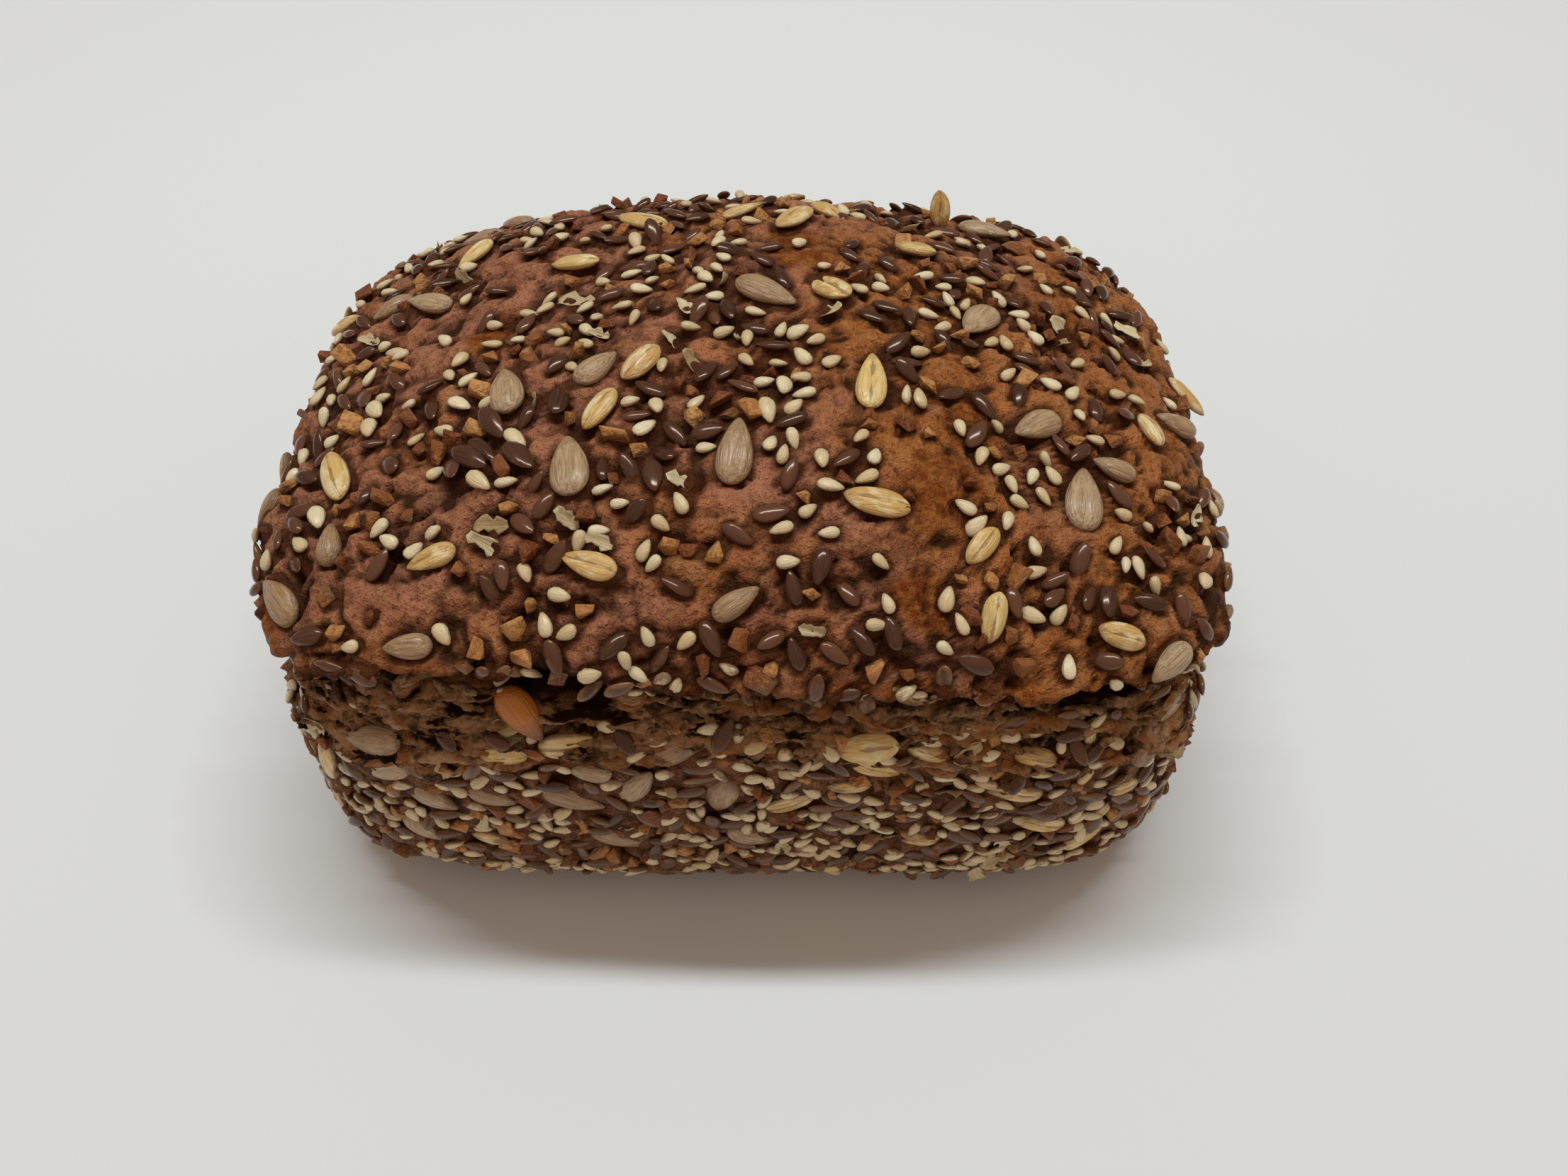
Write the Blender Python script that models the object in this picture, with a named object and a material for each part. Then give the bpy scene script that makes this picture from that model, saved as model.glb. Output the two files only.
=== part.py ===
"""A small seeded wholegrain loaf, baked in a tin, with a domed crust that tore along its front.

Units are metres and +Z is up. The loaf stands on its flat base at the origin, with its long side
along X and its torn side towards -Y. It is one closed solid: a core, with the kernels and grains
that cover its crust fused on. Run it with: blender --background --python part.py
"""
import math
import random

import bmesh
import bpy
from mathutils import Matrix, Vector, noise
from mathutils.bvhtree import BVHTree

MM = 0.001

# Sizes of the loaf
HALF_LENGTH = 71.0 * MM
HALF_DEPTH = 55.0 * MM
HEIGHT = 76.0 * MM
LIP_HEIGHT = 53.0 * MM
TIN_TAPER = 1.1 * MM
FOOT_RADIUS = 13.0 * MM
BELLY = 1.8 * MM
END_DROP = 9.4 * MM

# Exponents of the rounded outlines: 2 is an ellipse, and more is squarer
CROWN_FULLNESS = 2.1
CROWN_SQUARENESS = 2.0
LIP_SQUARENESS = 4.3
FOOT_SQUARENESS = 5.5

# Swellings of the crust: height and width of each kind, and how much of them the tin left on the
# walls, which end at the first share of the lip's height and give way to the crown by the second
LUMPS = ((1.3 * MM, 24 * MM), (0.5 * MM, 9 * MM))
WALL_LUMP_SHARE = 0.4
WALL_END = 0.7
CROWN_START = 1.1

# The tear along the front: its depth, and the heights of its lip and of its foot, where the crust
# kept to the tin. The lip peaks left of the middle, and both run down towards the corners.
TEAR_DEPTH = 2.4 * MM
TEAR_LIP = 55.0 * MM
TEAR_FOOT = 46.3 * MM
TEAR_PEAK_PLACE = -37.0 * MM
TEAR_PEAK_WIDTH = 12.0 * MM
TEAR_PEAK = 3.5 * MM
TEAR_DROP = 6.0 * MM
TEAR_REACH = 58.0 * MM
TEAR_RAGGED = ((1.4 * MM, 8 * MM), (0.6 * MM, 3 * MM))
TEAR_LIP_EDGE = 1.0 * MM
TEAR_FOOT_EDGE = 2.0 * MM

# Shares of the half depth between which the tear fades in round the corners
TEAR_FADE = (0.3, 0.8)

# Caverns in the torn crumb: how far along X and how high each opens, and its three radii
CAVERNS = (
    (-25.0 * MM, 54.0 * MM, (3.6 * MM, 4.0 * MM, 3.0 * MM)),
    (47.0 * MM, 50.5 * MM, (2.3 * MM, 3.5 * MM, 2.8 * MM)),
    (-60.0 * MM, 37.5 * MM, (1.8 * MM, 2.2 * MM, 1.8 * MM)),
)

# Cells of the core along X, Y and Z, and of the form that seeds are planned on
CORE_CELLS = (25, 18, 14)
GUIDE_CELLS = (72, 56, 36)

# Length, width and thickness of each kind of seed, and how much narrower it gets towards its tip
SEED_SIZES = {
    "sunflower": (9.0 * MM, 4.6 * MM, 2.8 * MM, 0.30),
    "oat": (9.0 * MM, 4.2 * MM, 2.1 * MM, 0.10),
}
SEED_SIDES = 6
SEED_BANDS = 4

# How the seeds lie: the share of its thickness that a seed's middle stands proud on the crown and on
# the walls, where the tin pressed it in, the gap between two seeds, the least height over the base,
# and the least and most of a kind's usual size
CROWN_LIFT = 0.10
WALL_LIFT = -0.12
SEED_GAP = 0.5 * MM
SEED_FLOOR = 1.0 * MM
SEED_RANGE = (0.85, 1.12)
SEEN_RANGE = (0.75, 1.15)
SEED_DRAW = 20

# How many of each kind are on the crown and on the walls, with those seen in the photo. A face is
# on the crown where it looks up by more than CROWN_FACING. The photo shows it, with all the large
# seeds that lie there, where it also looks at the lens by more than SHOWN_FACING.
SEED_COUNTS = (("sunflower", 20, 44), ("oat", 24, 52))
CROWN_FACING = 0.5
SHOWN_FACING = 0.3
WALL_HEADING_SPREAD = math.radians(40)
MOST_TRIES = 4000
LEAST_WHOLE = 0.9

CRUST_COLOUR = (0.155, 0.062, 0.028)
CRUST_ROUGHNESS = 0.6
SHARP_ANGLE = math.radians(30)

# The photo of the loaf: its middle and its lens's focal length in pixels, and how the lens looks
PHOTO_CENTRE = (1106.0, 829.5)
LENS_PIXELS = 1662.0
LENS_PLACE = Vector((4.4, -144.0, 178.7)) * MM
LENS_PITCH = math.radians(48.8)
LENS_YAW = math.radians(-0.64)
LENS_ROLL = math.radians(0.92)

# Where the photo shows the largest seeds: the pixel of each one's tip, and of its blunt end
SIGHTINGS = {
    "sunflower": (
        ((1127, 433), (1033, 397)), ((1356, 476), (1405, 428)), ((1428, 613), (1493, 586)),
        ((1541, 651), (1600, 675)), ((1528, 660), (1531, 747)), ((1043, 597), (1031, 684)),
        ((1007, 591), (957, 676)), ((1667, 555), (1679, 617)), ((709, 513), (721, 594)),
        ((803, 617), (810, 712)), ((529, 453), (582, 417)), ((582, 431), (636, 431)),
        ((870, 496), (814, 542)), ((1072, 829), (1007, 872)), ((1622, 958), (1674, 906)),
        ((544, 914), (607, 910)), ((377, 820), (412, 874)), ((370, 879), (383, 928)),
        ((502, 1088), (578, 1073)), ((796, 1084), (863, 1095)), ((470, 740), (462, 798)),
    ),
    "oat": (
        ((1148, 381), (1194, 436)), ((1237, 500), (1234, 574)), ((1495, 577), (1567, 615)),
        ((1187, 704), (1287, 713)), ((1261, 350), (1320, 357)), ((1096, 278), (1143, 297)),
        ((1368, 796), (1407, 745)), ((1607, 591), (1631, 629)), ((1397, 908), (1404, 834)),
        ((1545, 887), (1617, 906)), ((1600, 877), (1643, 858)), ((1713, 815), (1732, 863)),
        ((823, 605), (870, 551)), ((881, 538), (930, 493)), ((779, 375), (848, 375)),
        ((645, 377), (698, 346)), ((468, 645), (484, 705)), ((578, 805), (642, 774)),
        ((796, 789), (875, 816)), ((417, 765), (455, 778)), ((1426, 1061), (1493, 1073)),
        ((1390, 1116), (1471, 1118)), ((1562, 1114), (1636, 1121)), ((1426, 1157), (1500, 1162)),
        ((1170, 1107), (1227, 1111)), ((1277, 1052), (1340, 1068)), ((1273, 1181), (1320, 1183)),
        ((676, 1062), (747, 1071)), ((663, 1182), (709, 1180)), ((421, 1066), (473, 1095)),
    ),
}


def smooth_step(low, high, value):
    """0 below low, 1 above high and a soft rise between them."""
    share = min(max((value - low) / (high - low), 0.0), 1.0)
    return share * share * (3 - 2 * share)


def on_outline(x, y, squareness):
    """Where the ray through x, y meets the rounded outline of the square from -1 to 1."""
    shrink = (abs(x) ** squareness + abs(y) ** squareness) ** (-1 / squareness)
    return x * shrink, y * shrink


def outline_point(side, inset, radius, height, rise=0.0):
    """A point of the outline at a height, pulled in by inset, scaled by radius and raised by rise."""
    low = max(0.0, 1 - height / LIP_HEIGHT)
    squareness = LIP_SQUARENESS + (FOOT_SQUARENESS - LIP_SQUARENESS) * low
    squareness += (CROWN_SQUARENESS - LIP_SQUARENESS) * rise
    across, along = on_outline(side[0], side[1], squareness)
    pulled = inset + TIN_TAPER * low
    belly = BELLY * math.sin(math.pi * min(height / LIP_HEIGHT, 1.0)) * along * abs(along)
    x = radius * (HALF_LENGTH - pulled) * across
    y = radius * ((HALF_DEPTH - pulled) * along + belly)
    crown = HEIGHT - LIP_HEIGHT - END_DROP * (x / HALF_LENGTH) ** 2
    return Vector((x, y, height + rise * crown))


def loaf_point(place):
    """Carries a place on the cube from -1 to 1 onto the loaf, without its lumps and tears."""
    reach = max(abs(place.x), abs(place.y))
    side = (place.x / reach, place.y / reach) if reach > 0 else (1.0, 0.0)
    foot_path = FOOT_RADIUS * math.pi / 2
    if reach > 1 - 1e-6:
        climb = (place.z + 1) / 2 * (foot_path + LIP_HEIGHT - FOOT_RADIUS)
        if climb > foot_path:
            return outline_point(side, 0.0, 1.0, climb - foot_path + FOOT_RADIUS)
        turn = climb / FOOT_RADIUS
        inset = FOOT_RADIUS * (1 - math.sin(turn))
        return outline_point(side, inset, 1.0, FOOT_RADIUS * (1 - math.cos(turn)))
    if place.z < 0:
        return outline_point(side, FOOT_RADIUS, reach, 0.0)
    turn = (1 - reach) * math.pi / 2
    radius = math.cos(turn) ** (2 / CROWN_FULLNESS)
    return outline_point(side, 0.0, radius, LIP_HEIGHT, math.sin(turn) ** (2 / CROWN_FULLNESS))


def cube_grid(cells):
    """A cube from -1 to 1 whose edges are cut into so many cells along X, Y and Z."""
    grid = bmesh.new()
    bmesh.ops.create_cube(grid, size=2.0)
    for axis, count in enumerate(cells):
        along = [edge for edge in grid.edges if abs(edge.verts[0].co[axis] - edge.verts[1].co[axis]) > 1.5]
        bmesh.ops.subdivide_edges(grid, edges=along, cuts=count - 1, use_grid_fill=True)
    return grid


def lump_height(point):
    """How far the crust swells out at a point: most on the crown, and not at all at the base."""
    swelling = sum(size * noise.noise(point / width) for size, width in LUMPS)
    crown = smooth_step(WALL_END * LIP_HEIGHT, CROWN_START * LIP_HEIGHT, point.z)
    share = WALL_LUMP_SHARE + (1 - WALL_LUMP_SHARE) * crown
    return swelling * share * smooth_step(0.0, FOOT_RADIUS, point.z)


def tear_share(point):
    """How torn the front is at a point: 0 on whole crust and 1 in the tear."""
    ragged = sum(size * noise.noise(Vector((point.x / width, 0, 0))) for size, width in TEAR_RAGGED)
    bend = (point.x / TEAR_REACH) ** 2 * TEAR_DROP
    peak = TEAR_PEAK * math.exp(-(((point.x - TEAR_PEAK_PLACE) / TEAR_PEAK_WIDTH) ** 2))
    lip = TEAR_LIP + peak - bend / 2 + ragged
    foot = TEAR_FOOT - bend - ragged
    facing = smooth_step(*TEAR_FADE, -point.y / HALF_DEPTH)
    above_foot = smooth_step(foot - TEAR_FOOT_EDGE, foot + TEAR_FOOT_EDGE, point.z)
    above_lip = smooth_step(lip - TEAR_LIP_EDGE, lip + TEAR_LIP_EDGE, point.z)
    return facing * above_foot * (1 - above_lip)


def loaf_form(cells):
    """The loaf's bare form on a grid."""
    form = cube_grid(cells)
    for vert in form.verts:
        vert.co = loaf_point(vert.co)
    form.normal_update()
    moved = []
    for vert in form.verts:
        out = lump_height(vert.co) - TEAR_DEPTH * tear_share(vert.co)
        moved.append(vert.co + vert.normal * out)
    for vert, place in zip(form.verts, moved):
        vert.co = place
    form.normal_update()
    return form


def sight_line(pixel):
    """The lens's place, and the direction in which a pixel of the photo is seen."""
    turn = Matrix.Rotation(LENS_YAW, 3, "Z") @ Matrix.Rotation(math.pi / 2 - LENS_PITCH, 3, "X")
    turn = turn @ Matrix.Rotation(LENS_ROLL, 3, "Z")
    ray = Vector((pixel[0] - PHOTO_CENTRE[0], PHOTO_CENTRE[1] - pixel[1], -LENS_PIXELS))
    return LENS_PLACE, (turn @ ray).normalized()


def seen_at(tree, pixel):
    """The place on the loaf's form that a pixel of the photo shows, and the form's outward direction."""
    lens, ray = sight_line(pixel)
    place, outward, _, _ = tree.ray_cast(lens, ray)
    if place is None:
        middle = Vector((0, 0, HEIGHT / 2))
        place, outward, _, _ = tree.find_nearest(lens + ray * (middle - lens).dot(ray))
    return place, outward


class Seed:
    """One seed: its kind, its middle on the form, the way it points, and its size."""

    def __init__(self, kind, place, outward, heading, size):
        length, width, self.thickness, self.narrowing = SEED_SIZES[kind]
        self.kind = kind
        self.length = length * size
        self.width = width * size
        self.place = place
        self.outward = outward
        self.heading = (heading - outward * heading.dot(outward)).normalized()

    def beads(self):
        """Three balls along the seed that stand for the room it takes."""
        step = self.heading * (self.length - self.width) * 0.5
        return [(self.place + step * share, self.width / 2) for share in (-1, 0, 1)]


def has_room(seed, others):
    """Whether a seed keeps its gap to all the others."""
    for other in others:
        if (seed.place - other.place).length > (seed.length + other.length) / 2 + SEED_GAP:
            continue
        for place, radius in seed.beads():
            for other_place, other_radius in other.beads():
                if (place - other_place).length < radius + other_radius + SEED_GAP:
                    return False
    return True


def seen_seeds(tree):
    """The large seeds that the photo shows, each lying from its tip to its blunt end."""
    seeds = []
    for kind, sightings in SIGHTINGS.items():
        for tip_pixel, blunt_pixel in sightings:
            tip, tip_outward = seen_at(tree, tip_pixel)
            blunt, blunt_outward = seen_at(tree, blunt_pixel)
            size = min(max((tip - blunt).length / SEED_SIZES[kind][0], SEEN_RANGE[0]), SEEN_RANGE[1])
            outward = (tip_outward + blunt_outward).normalized()
            seed = Seed(kind, (tip + blunt) / 2, outward, tip - blunt, size)
            if has_room(seed, seeds):
                seeds.append(seed)
    return seeds


def spread_seeds(form, seeds):
    """Adds large seeds at random places that still have room, until each kind's count is met."""
    draw = random.Random(SEED_DRAW)
    faces = list(form.faces)
    areas = []
    total = 0.0
    for face in faces:
        total += face.calc_area()
        areas.append(total)
    for kind, crown_count, wall_count in SEED_COUNTS:
        wanted = {True: crown_count, False: wall_count}
        for seed in seeds:
            if seed.kind == kind:
                wanted[seed.outward.z > CROWN_FACING] -= 1
        for _ in range(MOST_TRIES):
            face = draw.choices(faces, cum_weights=areas)[0]
            place = face.calc_center_median()
            on_crown = face.normal.z > CROWN_FACING
            shown = on_crown and face.normal.dot((LENS_PLACE - place).normalized()) > SHOWN_FACING
            angle = draw.uniform(-math.pi, math.pi) if on_crown else draw.gauss(0, WALL_HEADING_SPREAD)
            size = draw.uniform(*SEED_RANGE)
            torn = 1 - tear_share(place) < LEAST_WHOLE
            if wanted[on_crown] <= 0 or face.normal.z < -CROWN_FACING or torn or shown:
                continue
            level = Vector((0, 0, 1)).cross(face.normal).normalized()
            heading = Matrix.Rotation(angle, 3, face.normal) @ level
            seed = Seed(kind, place, face.normal.copy(), heading, size)
            lowest = min(bead.z - radius for bead, radius in seed.beads())
            if lowest > SEED_FLOOR and has_room(seed, seeds):
                seeds.append(seed)
                wanted[on_crown] -= 1


def seed_object(seed, number, core_tree, material, collection):
    """A closed teardrop with few sides, seated on the core."""
    body = bmesh.new()
    bmesh.ops.create_uvsphere(body, u_segments=SEED_SIDES, v_segments=SEED_BANDS, radius=1.0)
    seat, _, _, _ = core_tree.find_nearest(seed.place)
    half_length = seed.heading * seed.length / 2
    half_width = seed.outward.cross(seed.heading) * seed.width / 2
    half_thickness = seed.outward * seed.thickness / 2
    lift = CROWN_LIFT if seed.outward.z > CROWN_FACING else WALL_LIFT
    for vert in body.verts:
        across, up, along = vert.co
        slim = 1 - seed.narrowing * along
        vert.co = seat + half_length * along + half_width * across * slim
        vert.co += half_thickness * (up * slim + 2 * lift)
    bmesh.ops.recalc_face_normals(body, faces=body.faces)
    return mesh_object(f"{seed.kind}_{number:03d}", body, material, collection)


def new_material(name, colour, roughness):
    """A Principled material of one colour."""
    material = bpy.data.materials.new(name)
    material.use_nodes = True
    shader = material.node_tree.nodes["Principled BSDF"]
    shader.inputs["Base Color"].default_value = (*colour, 1.0)
    shader.inputs["Roughness"].default_value = roughness
    shader.inputs["Metallic"].default_value = 0.0
    return material


def new_collection(name):
    """A collection linked to the scene."""
    collection = bpy.data.collections.new(name)
    bpy.context.scene.collection.children.link(collection)
    return collection


def mesh_object(name, form, material, collection):
    """Makes an object of a bmesh, which it frees."""
    mesh = bpy.data.meshes.new(name)
    form.to_mesh(mesh)
    form.free()
    mesh.materials.append(material)
    made = bpy.data.objects.new(name, mesh)
    collection.objects.link(made)
    return made


def flatten_base(form):
    """Makes one face of all the level faces of the base."""
    base = [face for face in form.faces if all(abs(vert.co.z) < 0.001 * MM for vert in face.verts)]
    bmesh.ops.dissolve_faces(form, faces=base, use_verts=True)


def cavern_cutters(core_tree, material, collection):
    """One ellipsoid for each cavern, centred where the torn crumb begins."""
    for number, (along, height, radii) in enumerate(CAVERNS):
        place, _, _, _ = core_tree.ray_cast(Vector((along, -2 * HALF_DEPTH, height)), Vector((0, 1, 0)))
        cutter = bmesh.new()
        bmesh.ops.create_icosphere(cutter, subdivisions=2, radius=1.0)
        bmesh.ops.transform(cutter, matrix=Matrix.LocRotScale(place, None, Vector(radii)), verts=cutter.verts)
        made = mesh_object(f"cavern_{number}", cutter, material, collection)
        made.hide_render = True
        made.display_type = "WIRE"


def boolean(target, operation, collection, solver):
    """Cuts or joins a collection's objects with the target, and removes them."""
    modifier = target.modifiers.new(operation.title(), "BOOLEAN")
    modifier.operation = operation
    modifier.operand_type = "COLLECTION"
    modifier.collection = collection
    modifier.solver = solver
    result = target.evaluated_get(bpy.context.evaluated_depsgraph_get())
    joined = bpy.data.meshes.new_from_object(result)
    target.modifiers.clear()
    target.data = joined
    for used in list(collection.objects):
        bpy.data.objects.remove(used)
    bpy.data.collections.remove(collection)


def shells(form):
    """The separate closed shells of a form, each as a list of faces, with the largest first."""
    left = set(form.faces)
    found = []
    while left:
        front = [left.pop()]
        shell = list(front)
        while front:
            face = front.pop()
            for edge in face.edges:
                for other in edge.link_faces:
                    if other in left:
                        left.remove(other)
                        front.append(other)
                        shell.append(other)
        found.append(shell)
    return sorted(found, key=len, reverse=True)


def keep_outer_shell(target):
    """Fills sealed hollows and drops loose scraps, by keeping only the largest shell in triangles."""
    form = bmesh.new()
    form.from_mesh(target.data)
    for shell in shells(form)[1:]:
        bmesh.ops.delete(form, geom=shell, context="FACES")
    bmesh.ops.triangulate(form, faces=form.faces, quad_method="BEAUTY", ngon_method="BEAUTY")
    form.to_mesh(target.data)
    form.free()


def main():
    """Builds the loaf."""
    for old in list(bpy.data.objects):
        bpy.data.objects.remove(old)
    crust = new_material("bread_crust", CRUST_COLOUR, CRUST_ROUGHNESS)
    core_form = loaf_form(CORE_CELLS)
    core_tree = BVHTree.FromBMesh(core_form)
    flatten_base(core_form)
    loaf = mesh_object("loaf", core_form, crust, new_collection("Seeded loaf"))
    caverns = new_collection("Caverns")
    cavern_cutters(core_tree, crust, caverns)
    boolean(loaf, "DIFFERENCE", caverns, "EXACT")

    guide = loaf_form(GUIDE_CELLS)
    seeds = seen_seeds(BVHTree.FromBMesh(guide))
    spread_seeds(guide, seeds)
    guide.free()
    seed_collection = new_collection("Seeds")
    for number, seed in enumerate(seeds):
        seed_object(seed, number, core_tree, crust, seed_collection)
    boolean(loaf, "UNION", seed_collection, "EXACT")
    keep_outer_shell(loaf)
    loaf.data.shade_smooth()
    loaf.data.set_sharp_from_angle(angle=SHARP_ANGLE)


if __name__ == "__main__":
    main()
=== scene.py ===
"""Dresses the seeded loaf: its crust, torn crumb and every seed on it, with their materials.

Units are metres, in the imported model's own frame: +Z up, the base's middle at the origin, and the torn
front towards -Y. The loaf's form and the places of its largest seeds repeat those of the solid.
"""

import itertools
import math
import random

import bmesh
import bpy
import numpy as np
from mathutils import Matrix, Vector, kdtree, noise
from mathutils.bvhtree import BVHTree


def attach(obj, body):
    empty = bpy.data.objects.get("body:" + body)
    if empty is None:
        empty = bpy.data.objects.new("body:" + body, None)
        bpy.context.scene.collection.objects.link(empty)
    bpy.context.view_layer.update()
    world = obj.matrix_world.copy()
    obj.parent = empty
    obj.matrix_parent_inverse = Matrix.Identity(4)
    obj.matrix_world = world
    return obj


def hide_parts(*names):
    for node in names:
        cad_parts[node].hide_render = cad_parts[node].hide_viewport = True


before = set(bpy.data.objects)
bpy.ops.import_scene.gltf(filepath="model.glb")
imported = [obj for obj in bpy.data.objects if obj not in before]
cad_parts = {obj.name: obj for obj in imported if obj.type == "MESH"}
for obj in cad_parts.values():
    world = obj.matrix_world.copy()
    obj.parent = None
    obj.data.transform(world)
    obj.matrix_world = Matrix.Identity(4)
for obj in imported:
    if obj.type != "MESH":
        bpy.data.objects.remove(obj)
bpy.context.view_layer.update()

MM = 0.001
UP = Vector((0, 0, 1))

# Sizes of the loaf, as in the solid
HALF_LENGTH = 71.0 * MM
HALF_DEPTH = 55.0 * MM
HEIGHT = 76.0 * MM
LIP_HEIGHT = 53.0 * MM
TIN_TAPER = 1.1 * MM
FOOT_RADIUS = 13.0 * MM
BELLY = 1.8 * MM
END_DROP = 9.4 * MM
CROWN_FULLNESS = 2.1
CROWN_SQUARENESS = 2.0
LIP_SQUARENESS = 4.3
FOOT_SQUARENESS = 5.5
LUMPS = ((1.3 * MM, 24 * MM), (0.5 * MM, 9 * MM))
WALL_LUMP_SHARE = 0.4
WALL_END = 0.7
CROWN_START = 1.1

# The tear along the front, as in the solid
TEAR_DEPTH = 2.4 * MM
TEAR_LIP = 55.0 * MM
TEAR_FOOT = 46.3 * MM
TEAR_PEAK_PLACE = -37.0 * MM
TEAR_PEAK_WIDTH = 12.0 * MM
TEAR_PEAK = 3.5 * MM
TEAR_DROP = 6.0 * MM
TEAR_REACH = 58.0 * MM
TEAR_RAGGED = ((1.4 * MM, 8 * MM), (0.6 * MM, 3 * MM))
TEAR_LIP_EDGE = 1.0 * MM
TEAR_FOOT_EDGE = 2.0 * MM
TEAR_FADE = (0.3, 0.8)
CAVERNS = (
    (-25.0 * MM, 54.0 * MM, (3.6 * MM, 4.0 * MM, 3.0 * MM)),
    (47.0 * MM, 50.5 * MM, (2.3 * MM, 3.5 * MM, 2.8 * MM)),
    (-60.0 * MM, 37.5 * MM, (1.8 * MM, 2.2 * MM, 1.8 * MM)),
)

# Each kind of seed: its piece's name, and its length, width and thickness in millimetres; the shares of
# its thickness that its middle stands above the crust, on the crown and on the walls; and how far it
# tips over, in degrees. The sizes of the two large kinds are as in the solid.
KINDS = {
    "sunflower": ("sunflower_kernels", (9.0, 4.6, 2.8), (0.12, -0.12), 5),
    "oat": ("oat_grains", (9.0, 4.2, 2.1), (0.18, -0.06), 6),
    "sesame": ("sesame_seeds", (3.3, 2.0, 1.25), (0.28, 0.03), 13),
    "linseed": ("linseeds", (4.8, 2.3, 1.2), (0.26, 0.01), 14),
    "grit": ("malt_grits", (3.1, 2.4, 2.0), (0.12, -0.13), 35),
    "husk": ("husk_flakes", (4.6, 3.0, 1.8), (0.15, 0.05), 28),
    "crumb": ("crumb_shreds", (4.4, 1.8, 1.1), (0.10, 0.10), 22),
}

# How the large seeds are spread, as in the solid
SEED_GAP = 0.5 * MM
SEED_FLOOR = 1.0 * MM
SEED_RANGE = (0.85, 1.12)
SEEN_RANGE = (0.75, 1.15)
SEED_DRAW = 20
SEED_COUNTS = (("sunflower", 20, 44), ("oat", 24, 52))
CROWN_FACING = 0.5
SHOWN_FACING = 0.3
WALL_HEADING_SPREAD = math.radians(40)
MOST_TRIES = 4000
LEAST_WHOLE = 0.9
GUIDE_CELLS = (72, 56, 36)

# The photo of the loaf: its middle and its lens's focal length in pixels, and how the lens looks
PHOTO_CENTRE = (1106.0, 829.5)
LENS_PIXELS = 1662.0
LENS_PLACE = Vector((4.4, -144.0, 178.7)) * MM
LENS_PITCH = math.radians(48.8)
LENS_YAW = math.radians(-0.64)
LENS_ROLL = math.radians(0.92)
SENSOR_WIDTH = 36.0

# Where the photo shows the largest seeds: across and down to its tip, then to its blunt end, in pixels
SIGHTINGS = {
    "sunflower": (
        (1127, 433, 1033, 397), (1356, 476, 1405, 428), (1428, 613, 1493, 586), (1541, 651, 1600, 675),
        (1528, 660, 1531, 747), (1043, 597, 1031, 684), (1007, 591, 957, 676), (1667, 555, 1679, 617),
        (709, 513, 721, 594), (803, 617, 810, 712), (529, 453, 582, 417), (582, 431, 636, 431),
        (870, 496, 814, 542), (1072, 829, 1007, 872), (1622, 958, 1674, 906), (544, 914, 607, 910),
        (377, 820, 412, 874), (370, 879, 383, 928), (502, 1088, 578, 1073), (796, 1084, 863, 1095),
        (470, 740, 462, 798),
    ),
    "oat": (
        (1148, 381, 1194, 436), (1237, 500, 1234, 574), (1495, 577, 1567, 615), (1187, 704, 1287, 713),
        (1261, 350, 1320, 357), (1096, 278, 1143, 297), (1368, 796, 1407, 745), (1607, 591, 1631, 629),
        (1397, 908, 1404, 834), (1545, 887, 1617, 906), (1600, 877, 1643, 858), (1713, 815, 1732, 863),
        (823, 605, 870, 551), (881, 538, 930, 493), (779, 375, 848, 375), (645, 377, 698, 346),
        (468, 645, 484, 705), (578, 805, 642, 774), (796, 789, 875, 816), (417, 765, 455, 778),
        (1426, 1061, 1493, 1073), (1390, 1116, 1471, 1118), (1562, 1114, 1636, 1121),
        (1426, 1157, 1500, 1162), (1170, 1107, 1227, 1111), (1277, 1052, 1340, 1068),
        (1273, 1181, 1320, 1183), (676, 1062, 747, 1071), (663, 1182, 709, 1180), (421, 1066, 473, 1095),
    ),
}
STANDING_OAT = (1325, 318)
MALT_KERNEL = (766, 1036, 706, 974)
MALT_TINT = 2.0

# The least and most of its usual size that a small one has, and how far it may overlap its neighbours
SMALL_RANGE = (0.8, 1.35)
SEEN_OVERLAP = -1.1 * MM

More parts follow.
